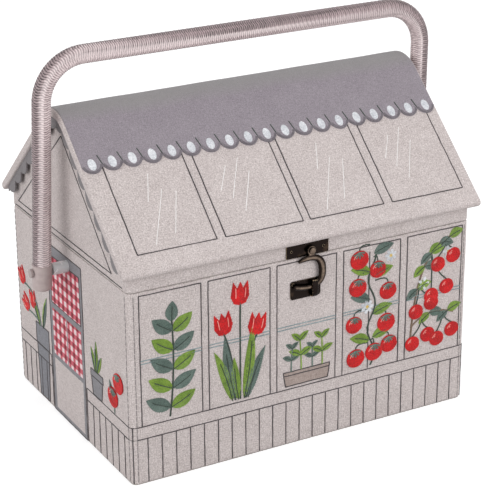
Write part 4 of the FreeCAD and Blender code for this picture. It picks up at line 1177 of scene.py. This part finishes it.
def dress(net, source, target, shape):  # the end of each tree
    real = net.put("GeometryNodeRealizeInstances", {0: shape})[0]
    sockets = {"Geometry": real, "Material": source["Material"]}
    net.link(net.put("GeometryNodeSetMaterial", sockets)[0], target[0])
    return net.tree


def makeSewnThread():
    inputs = {"Geometry": "Geometry", "Radius": "Float", "Arch": "Float", "Step": "Float", "Wobble": "Float",
              "Material": "Material"}
    net, source, target = newTree("sewnThread", "GeometryNodeTree", inputs, {"Geometry": "Geometry"})
    curve = net.put("GeometryNodeMeshToCurve", {"Mesh": source["Geometry"]})[0]
    cut = net.put("GeometryNodeResampleCurve", {"Curve": curve, "Length": source["Step"]}, mode="LENGTH")[0]
    out = net.put("GeometryNodeInputNamedAttribute", {"Name": "out"}, data_type="FLOAT_VECTOR")[0]
    hump = net.wave(net.put("GeometryNodeSplineParameter")["Factor"])
    arch = net.vector("SCALE", out, net.mul(hump, source["Arch"]))[0]
    shake = net.put("ShaderNodeTexNoise", {"Scale": 160.0, "Detail": 1.0})["Color"]
    sway = net.vector("SCALE", net.vector("SUBTRACT", shake, (0.5, 0.5, 0.5))[0], source["Wobble"])[0]
    move = net.vector("ADD", arch, sway)[0]
    bent = net.put("GeometryNodeSetPosition", {"Geometry": cut, "Offset": move})[0]
    ring = net.put("GeometryNodeCurvePrimitiveCircle", {"Resolution": 5, "Radius": source["Radius"]})[0]
    tube = net.put("GeometryNodeCurveToMesh", {"Curve": bent, "Profile Curve": ring, "Fill Caps": True})[0]
    return dress(net, source, target, tube)


def makePlain(piece):  # works a piece's modifiers into a plain mesh
    bpy.context.view_layer.update()
    graph = bpy.context.evaluated_depsgraph_get()
    mesh = bpy.data.meshes.new_from_object(piece.evaluated_get(graph))
    piece.modifiers.clear()
    old = piece.data
    piece.data = mesh
    mesh.name = piece.name
    bpy.data.meshes.remove(old)
    return piece


def runTree(piece, tree, values):
    modifier = piece.modifiers.new("nodes", "NODES")
    modifier.node_group = tree
    sockets = {item.name: item.identifier for item in tree.interface.items_tree if item.in_out == "INPUT"}
    for label, value in values.items():
        modifier[sockets[label]] = value
    return makePlain(piece)


def edgePiece(name, runs, outs=None):  # bare edges for the trees, with the way out of the cloth
    verts, edges, normals = [], [], []
    for i, run in enumerate(runs):
        first = len(verts)
        verts += run
        edges += [(first + k, first + k + 1) for k in range(len(run) - 1)]
        normals += [outs[i] if outs else Vector((0, 0, 0))] * len(run)
    mesh = bpy.data.meshes.new(name)
    mesh.from_pydata(verts, edges, [])
    layer = mesh.attributes.new("out", "FLOAT_VECTOR", "POINT")
    layer.data.foreach_set("vector", [value for n in normals for value in n])
    return addObject(name, mesh)


sewnThread = makeSewnThread()
threadRun = {"Radius": 0.36 * mm, "Arch": 0.28 * mm, "Step": 1.6 * mm, "Wobble": 0.1 * mm}
lineRun = {"Arch": 0.0, "Step": 4 * mm, "Wobble": 0.6 * mm}
penRadius = {"ink": 0.47 * mm, "wire": 0.47 * mm, "glint": 0.32 * mm}

for (body, thread), sewn in stitches.items():
    starts, ends, outs = zip(*sewn)
    piece = edgePiece(body + "_" + finishes[thread].name, [[a, b] for a, b in zip(starts, ends)], outs)
    runTree(piece, sewnThread, {**threadRun, "Material": finishes[thread]})
    piece.data.polygons.foreach_set("use_smooth", [True] * len(piece.data.polygons))
    mount(piece, body, "linen")
    print("sewn", piece.name, len(sewn), "stitches,", len(piece.data.polygons), "faces")

for (body, pen), runs in inkRuns.items():
    piece = edgePiece(body + "_" + finishes[pen].name, runs)
    runTree(piece, sewnThread, {**lineRun, "Radius": penRadius[pen], "Material": finishes[pen]})
    mount(piece, body, "linen")

printCloth = {"cell": 8.0, "thick": 0.2, "join": 2e-6}


def windsLeft(outline):
    return sum(a[0] * b[1] - b[0] * a[1] for a, b in zip(outline, outline[1:] + outline[:1])) > 0


def makePatches(name, shapes, material):  # printed shapes as thin cloth laid on the cover
    verts, faces, corners = [], [], []
    for face, outline, lift in shapes:
        outline = outline if windsLeft(outline) else outline[::-1]
        faces.append(list(range(len(verts), len(verts) + len(outline))))
        verts += [onCloth(face, p, lift)[0] for p in outline]
        corners += [(u * mm, v * mm) for u, v in outline]
    return meshPiece(name, verts, faces, material, corners, False)


def splitBlock(face, outline, lift):  # a rectangle in cells that follow the cover
    sides = [sorted({p[way] for p in outline}) for way in (0, 1)]
    if len(outline) != 4 or any(len(side) != 2 for side in sides):
        return [(face, outline, lift)]
    marks = []
    for low, high in sides:
        count = max(1, round((high - low) / printCloth["cell"]))
        marks.append([low + (high - low) * i / count for i in range(count + 1)])
    us, vs = marks
    return [(face, oblong(a, c, b, d), lift) for a, b in zip(us, us[1:]) for c, d in zip(vs, vs[1:])]


for (body, finish), shapes in patches.items():
    cells = [cell for shape in shapes for cell in splitBlock(*shape)]
    piece = makePatches(body + "_" + finish + "_print", cells, finishes[finish])
    reshape(piece.data, merge(printCloth["join"]))
    mount(thicken(piece, printCloth["thick"]), body, "linen")
print("threads, lines and prints made")

bail = {"pivot": 140 * mm, "span": 170.7 * mm, "rise": 168.2 * mm, "bend": 34 * mm,
        "splay": math.radians(1.5), "lean": math.radians(3), "start": 6 * mm, "step": 4 * mm, "bendSteps": 24}
woundCord = {"Radius": 6.8 * mm, "Pitch": 1.8 * mm, "Relief": 0.6 * mm, "Ribs": 12.0, "Rings": 5.0,
             "Zigzag": 0.55, "Around": 48, "Middle": (0, -5 * mm, 225 * mm), "Material": finishes["wrap"]}


def bailPath():
    # half of the path in the handle's own plane, then mirrored
    bend, foot = bail["bend"], Vector((bail["span"], 0))
    direction = Vector((-math.sin(bail["splay"]), math.cos(bail["splay"])))
    inward = Vector((-direction.y, direction.x))
    turn = math.pi / 2 - bail["splay"]
    height = bail["rise"] / math.cos(bail["splay"])
    legEnd = foot + direction * height - direction * (bend * math.tan(turn / 2))
    centre = legEnd + inward * bend
    start = foot + direction * bail["start"]
    length = (legEnd - start).length
    count = int(length / bail["step"])
    half = [start] + [start + direction * length * k / count for k in range(1, count)]
    for k in range(bail["bendSteps"] + 1):
        a = turn * k / bail["bendSteps"]
        half.append(centre - inward * bend * math.cos(a) + direction * bend * math.sin(a))
    top = half[-1]
    count = int(top.x / bail["step"])
    half += [Vector((top.x * (1 - k / count), top.y)) for k in range(1, count + 1)]
    whole = [Vector((-p.x, p.y)) for p in half] + half[-2::-1]
    back, up = math.sin(bail["lean"]), math.cos(bail["lean"])
    return [Vector((p.x, -p.y * back, bail["pivot"] + p.y * up)) for p in whole]


def makeWoundHandle():
    inputs = {"Geometry": "Geometry", "Radius": "Float", "Pitch": "Float", "Relief": "Float", "Ribs": "Float",
              "Rings": "Float", "Zigzag": "Float", "Around": "Int", "Middle": "Vector",
              "Material": "Material"}
    net, source, target = newTree("woundHandle", "GeometryNodeTree", inputs, {"Geometry": "Geometry"})

    def keep(shape, name, value):
        sockets = {"Geometry": shape, "Name": name, "Value": value}
        return net.put("GeometryNodeStoreNamedAttribute", sockets, data_type="FLOAT", domain="POINT")[0]

    curve = net.put("GeometryNodeMeshToCurve", {"Mesh": source["Geometry"]})[0]
    step = net.calc("DIVIDE", source["Pitch"], source["Rings"])
    cut = net.put("GeometryNodeResampleCurve", {"Curve": curve, "Length": step}, mode="LENGTH")[0]
    marked = keep(cut, "along", net.put("GeometryNodeSplineParameter")["Length"])
    ring = net.put("GeometryNodeCurvePrimitiveCircle",
                   {"Resolution": source["Around"], "Radius": source["Radius"]})[0]
    tube = net.put("GeometryNodeCurveToMesh", {"Curve": marked, "Profile Curve": ring, "Fill Caps": True})[0]
    along = net.put("GeometryNodeInputNamedAttribute", {"Name": "along"}, data_type="FLOAT")[0]
    out = net.put("GeometryNodeInputNormal")[0]
    away = net.vector("SUBTRACT", net.put("GeometryNodeInputPosition")[0], source["Middle"])[0]
    outer = net.vector("DOT_PRODUCT", out, net.vector("NORMALIZE", away)[0])["Value"]
    angle = net.calc("ARCTAN2", net.parts(out)["Y"], outer)  # 0 outside, a quarter turn at the back
    lane = net.mul(net.add(net.calc("DIVIDE", angle, 2 * math.pi), 1.0), source["Ribs"])
    slant = net.mul(net.calc("PINGPONG", lane, 1.0), source["Zigzag"])
    turns = net.add(net.calc("DIVIDE", along, source["Pitch"]), slant)
    strand, crown = (net.calc("ABSOLUTE", net.wave(value)) for value in (turns, lane))
    cell = net.add(net.calc("FLOOR", turns), net.calc("FLOOR", lane))
    over = net.calc("FLOORED_MODULO", cell, 2.0)
    lift = net.mul(net.add(0.35, net.mul(over, 0.65)), crown)
    height = net.add(net.mul(strand, 0.62), net.mul(lift, 0.38))
    push = net.vector("SCALE", out, net.mul(height, source["Relief"]))[0]
    shaped = net.put("GeometryNodeSetPosition", {"Geometry": tube, "Offset": push})[0]
    # the relief and the outer side go to the cord's material, which paints shade in the gaps and on the outer
    # side
    shaped = keep(keep(shaped, "relief", height), "outer", outer)
    smooth = net.put("GeometryNodeSetShadeSmooth", {"Geometry": shaped})[0]
    return dress(net, source, target, smooth)


winding = runTree(edgePiece("handle_winding", [bailPath()]), makeWoundHandle(), woundCord)
mount(winding, "handle", "wrap", "handle_wrap")
print("handle wound:", len(winding.data.polygons), "faces")


# rigid pieces: a cast hook, a curled strap, softened copies of other solids, and finishes on the rest

hook = {"y": -110.4, "back": -109.5, "eye": (2.5, 161.0, 3.9), "bore": 1.75, "eyeHalf": 1.0, "eyeSteps": 28,
        "neck": (2.7, 154.5, 160.5, 0.9), "sides": 12, "steps": 5, "voxel": 0.28 * mm, "relax": (0.5, 4),
        "line": [(-8.8, 153.0, 1.2, 0.9), (-5.4, 154.3, 2.0, 1.1), (-1.2, 155.0, 2.3, 1.2),
                 (4.0, 154.9, 2.5, 1.3), (8.3, 153.2, 2.8, 1.45), (11.0, 149.5, 3.2, 1.6),
                 (12.0, 144.4, 3.3, 1.6), (11.7, 138.8, 3.2, 1.5), (9.8, 134.5, 2.7, 1.25),
                 (5.6, 131.8, 2.0, 1.05), (0.0, 131.2, 2.0, 1.05), (-6.0, 131.8, 2.1, 1.05),
                 (-11.0, 132.9, 2.0, 1.05), (-13.0, 133.4, 1.2, 0.8)]}


def smoothLine(knots, steps):  # a smooth run through knots of any size
    run = []
    for i in range(len(knots) - 1):
        a, b, c, d = (knots[min(max(j, 0), len(knots) - 1)] for j in (i - 1, i, i + 1, i + 2))
        for k in range(steps):
            t = k / steps
            run.append(tuple(0.5 * (2 * q + (r - p) * t + (2 * p - 5 * q + 4 * r - e) * t * t
                                    + (3 * q - p - 3 * r + e) * t ** 3) for p, q, r, e in zip(a, b, c, d)))
    return run + [knots[-1]]


def ringFaces(first, rings, sides, closed=False):  # quads between rings of points
    faces = []
    for i in range(rings if closed else rings - 1):
        a, b = first + i * sides, first + (i + 1) % rings * sides
        faces += [(a + k, a + (k + 1) % sides, b + (k + 1) % sides, b + k) for k in range(sides)]
    return faces


def hookBar(run, sides):  # swept along its line with an oval section
    verts = []
    for i, (x, z, wide, thick) in enumerate(run):
        before, after = run[max(i - 1, 0)], run[min(i + 1, len(run) - 1)]
        along = Vector((after[0] - before[0], after[1] - before[1])).normalized()
        across = Vector((-along.y, along.x))
        for k in range(sides):
            a = 2 * math.pi * k / sides
            spot = Vector((x, z)) + across * wide * math.cos(a)
            verts.append((spot.x * mm, (hook["back"] - thick + thick * math.sin(a)) * mm, spot.y * mm))
    last = (len(run) - 1) * sides
    ends = [tuple(range(sides)), tuple(range(last, last + sides))[::-1]]
    return verts, ringFaces(0, len(run), sides) + ends


def makeHook():
    # the bar, its neck and the eye on the rivet, cast into one form
    verts, faces = hookBar(smoothLine(hook["line"], hook["steps"]), hook["sides"])
    x, z, radius = hook["eye"]
    half, low, high, depth = hook["neck"]
    first = len(verts)
    verts += [(u * mm, (hook["y"] + d) * mm, v * mm) for d in (-depth, depth)
              for u, v in oblong(x - half, low, x + half, high)]
    quads = [(0, 1, 2, 3), (7, 6, 5, 4), (0, 4, 5, 1), (1, 5, 6, 2), (2, 6, 7, 3), (3, 7, 4, 0)]
    faces += [tuple(first + i for i in quad) for quad in quads]
    first, steps, deep = len(verts), hook["eyeSteps"], hook["eyeHalf"]
    for rim, depth in ((radius, -deep), (radius, deep), (hook["bore"], deep), (hook["bore"], -deep)):
        for k in range(steps):
            u, v = around((x, z), rim, 2 * math.pi * k / steps)
            verts.append((u * mm, (hook["y"] + depth) * mm, v * mm))
    faces += ringFaces(first, 4, steps, True)
    piece = meshPiece("latch_hook_bronze", verts, faces, finishes["bronzeCast"])
    reshape(piece.data, faceOut)
    cast = piece.modifiers.new("cast", "REMESH")
    cast.mode = "VOXEL"
    cast.voxel_size = hook["voxel"]
    cast.use_smooth_shade = True
    relax = piece.modifiers.new("relax", "SMOOTH")
    relax.factor, relax.iterations = hook["relax"]
    makePlain(piece)
    print("hook cast:", len(piece.data.polygons), "faces")
    mount(piece, "hook", "bronze", "latch_hook")


makeHook()

strap = {"left": 2.5, "right": 7.5, "thick": 1.0, "edge": 0.25, "steps": 5,
         "line": [(-109.0, 123.2), (-110.6, 122.9), (-112.2, 123.7), (-113.0, 125.6), (-113.2, 129.0),
                  (-113.0, 132.6), (-112.6, 135.4), (-112.9, 136.6)],
         "section": [(0.0, 0.35), (0.06, 0.1), (0.2, 0.0), (0.5, 0.0), (0.8, 0.0), (0.94, 0.1),
                     (1.0, 0.35)]}


def makeStrap():
    # band curled up from the plate's foot, its lip turned out a little
    left, wide = strap["left"], strap["right"] - strap["left"]
    points = [[Vector(((left + wide * share) * mm, (y + fall) * mm, z * mm))
               for share, fall in strap["section"]] for y, z in smoothLine(strap["line"], strap["steps"])]
    places = [[(p.x, p.z) for p in line] for line in points]
    band = sheetPiece("keeper_strap_bronze", points, places, finishes["bronze"])
    band.data.materials.append(finishes["bronzeEdge"])
    thicken(band, strap["thick"]).modifiers["thickness"].material_offset_rim = 1
    softenEdges(band, strap["edge"]).material = 1
    mount(band, "box", "bronze", "keeper_strap")


makeStrap()


softEdge = {"join": 1e-6, "flat": math.radians(0.6), "segments": 3, "angle": 32}


def joinFlats(shell):  # a solid's triangles as whole faces, shaded smooth
    bmesh.ops.dissolve_limit(shell, angle_limit=softEdge["flat"], verts=shell.verts[:], edges=shell.edges[:])
    for face in shell.faces:
        face.smooth = True


def softCopy(name, node, finish, body, slot, width):
    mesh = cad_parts[node].data.copy()
    mesh.name = name
    reshape(mesh, merge(softEdge["join"]), joinFlats)
    mesh.materials.clear()
    mesh.materials.append(finishes[finish])
    piece = addObject(name, mesh)
    edges = softenEdges(piece, width, softEdge["segments"], softEdge["angle"])
    edges.harden_normals = True
    if finish == "bronze":  # worn metal on the rounded edges
        mesh.materials.append(finishes["bronzeEdge"])
        edges.material = 1
    mount(piece, body, slot, node)


softCopy("latch_plate_bronze", "latch_plate", "bronze", "lid", "bronze", 0.22)
softCopy("latch_rivet_bronze", "latch_rivet", "bronzeCast", "lid", "bronze", 0.4)
softCopy("latch_pins_bronze", "latch_pins", "bronze", "lid", "bronze", 0.12)
softCopy("keeper_plate_bronze", "keeper_plate", "bronze", "box", "bronze", 0.22)
softCopy("keeper_pins_bronze", "keeper_pins", "bronze", "box", "bronze", 0.12)
softCopy("left_cap_plastic", "left_end_cap", "cap", "handle", "cap", 0.4)
softCopy("right_cap_plastic", "right_end_cap", "cap", "handle", "cap", 0.4)

nodeFinishes = {
    "board": ["base_board", "front_wall", "back_wall", "left_wall", "right_wall", "lid_front_rail",
              "lid_back_rail", "left_gable", "right_gable", "front_roof_panel", "back_roof_panel",
              "ridge_strip"],
    "lining": ["left_tray_ledge", "right_tray_ledge"],
    "bronze": ["left_hinge_body_leaf", "right_hinge_body_leaf", "left_hinge_lid_leaf", "right_hinge_lid_leaf",
               "hinge_pins", "body_leaf_screws", "lid_leaf_screws"],
    "pin": ["pivot_screws"],
    "steel": ["pivot_washers", "pivot_nuts", "handle_core"],
    "clear": ["left_handle_spacer", "right_handle_spacer"],
    "tray": ["tray_shell", "tray_long_divider", "tray_cross_dividers"],
}
for finish, names in nodeFinishes.items():
    for name in names:
        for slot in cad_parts[name].material_slots:
            slot.material = finishes[finish]
print("rigid pieces finished")


# floor, light and camera

studio = {"floor": 30.0, "grey": (0.5, 0.5, 0.5, 1), "glow": (0.66, 0.66, 0.66, 1), "ambient": 0.82,
          "aim": (0, 0, 0.12)}


def raysSeen(net, *kinds):
    light = net.put("ShaderNodeLightPath")
    seen = light["Is Camera Ray"]
    for kind in kinds:
        seen = net.calc("MAXIMUM", seen, light["Is " + kind + " Ray"])
    return seen


def makeFloor():
    material, net, shader = newMaterial("studio_floor", 0.9, Base_Color=studio["grey"],
                                        Emission_Color=studio["glow"])
    net.link(raysSeen(net, "Glossy", "Transmission"), shader["Emission Strength"])
    size = studio["floor"]
    corners = [(u, v, 0) for u, v in oblong(-size, -size, size, size)]
    meshPiece("floor", corners, [(0, 1, 2, 3)], material, smooth=False)


def makeWorld():
    world = bpy.data.worlds.new("studio")
    world.use_nodes = True
    scene.world = world
    ground = world.node_tree.nodes["Background"].inputs
    ground["Color"].default_value = (1, 1, 1, 1)
    net = Net(world.node_tree)
    rest = 1 - studio["ambient"]
    net.link(net.add(studio["ambient"], net.mul(raysSeen(net, "Transmission"), rest)), ground["Strength"])


def makeLamp(name, place, size, power):
    lamp = bpy.data.lights.new(name, "AREA")
    lamp.energy = power
    lamp.size = size
    item = addObject(name, lamp)
    item.location = place
    item.rotation_euler = (Vector(studio["aim"]) - Vector(place)).to_track_quat("-Z", "Y").to_euler()


makeFloor()
makeWorld()
makeLamp("key_light", (0.6, -1.9, 0.8), 1.4, 15)
makeLamp("fill_light", (-2.3, -0.3, 0.55), 1.8, 21)
makeLamp("top_light", (0.2, 0.8, 2.4), 1.6, 2)

view = {"azimuth": 28.908, "elevation": 21.804, "roll": -0.401, "place": (-628.2, -1143.8, 650.2),
        "focal": 1735.75, "pixels": 488, "sensor": 36, "far": 100}


def makeCamera():
    azimuth, elevation, roll = (math.radians(view[key]) for key in ("azimuth", "elevation", "roll"))
    flat = math.cos(elevation)
    ahead = Vector((math.sin(azimuth) * flat, math.cos(azimuth) * flat, -math.sin(elevation)))
    side = Vector((math.cos(azimuth), -math.sin(azimuth), 0))
    up = side.cross(ahead)
    right = side * math.cos(roll) + up * math.sin(roll)
    up = up * math.cos(roll) - side * math.sin(roll)
    data = bpy.data.cameras.new("camera")
    data.sensor_width = view["sensor"]
    data.lens = view["focal"] * view["sensor"] / view["pixels"]
    data.clip_end = view["far"]
    turn = Matrix((right, up, -ahead)).transposed().to_4x4()
    scene.camera = addObject("camera", data)
    scene.camera.matrix_world = Matrix.Translation(Vector(view["place"]) * mm) @ turn


makeCamera()
bpy.context.view_layer.update()
print("stage set")
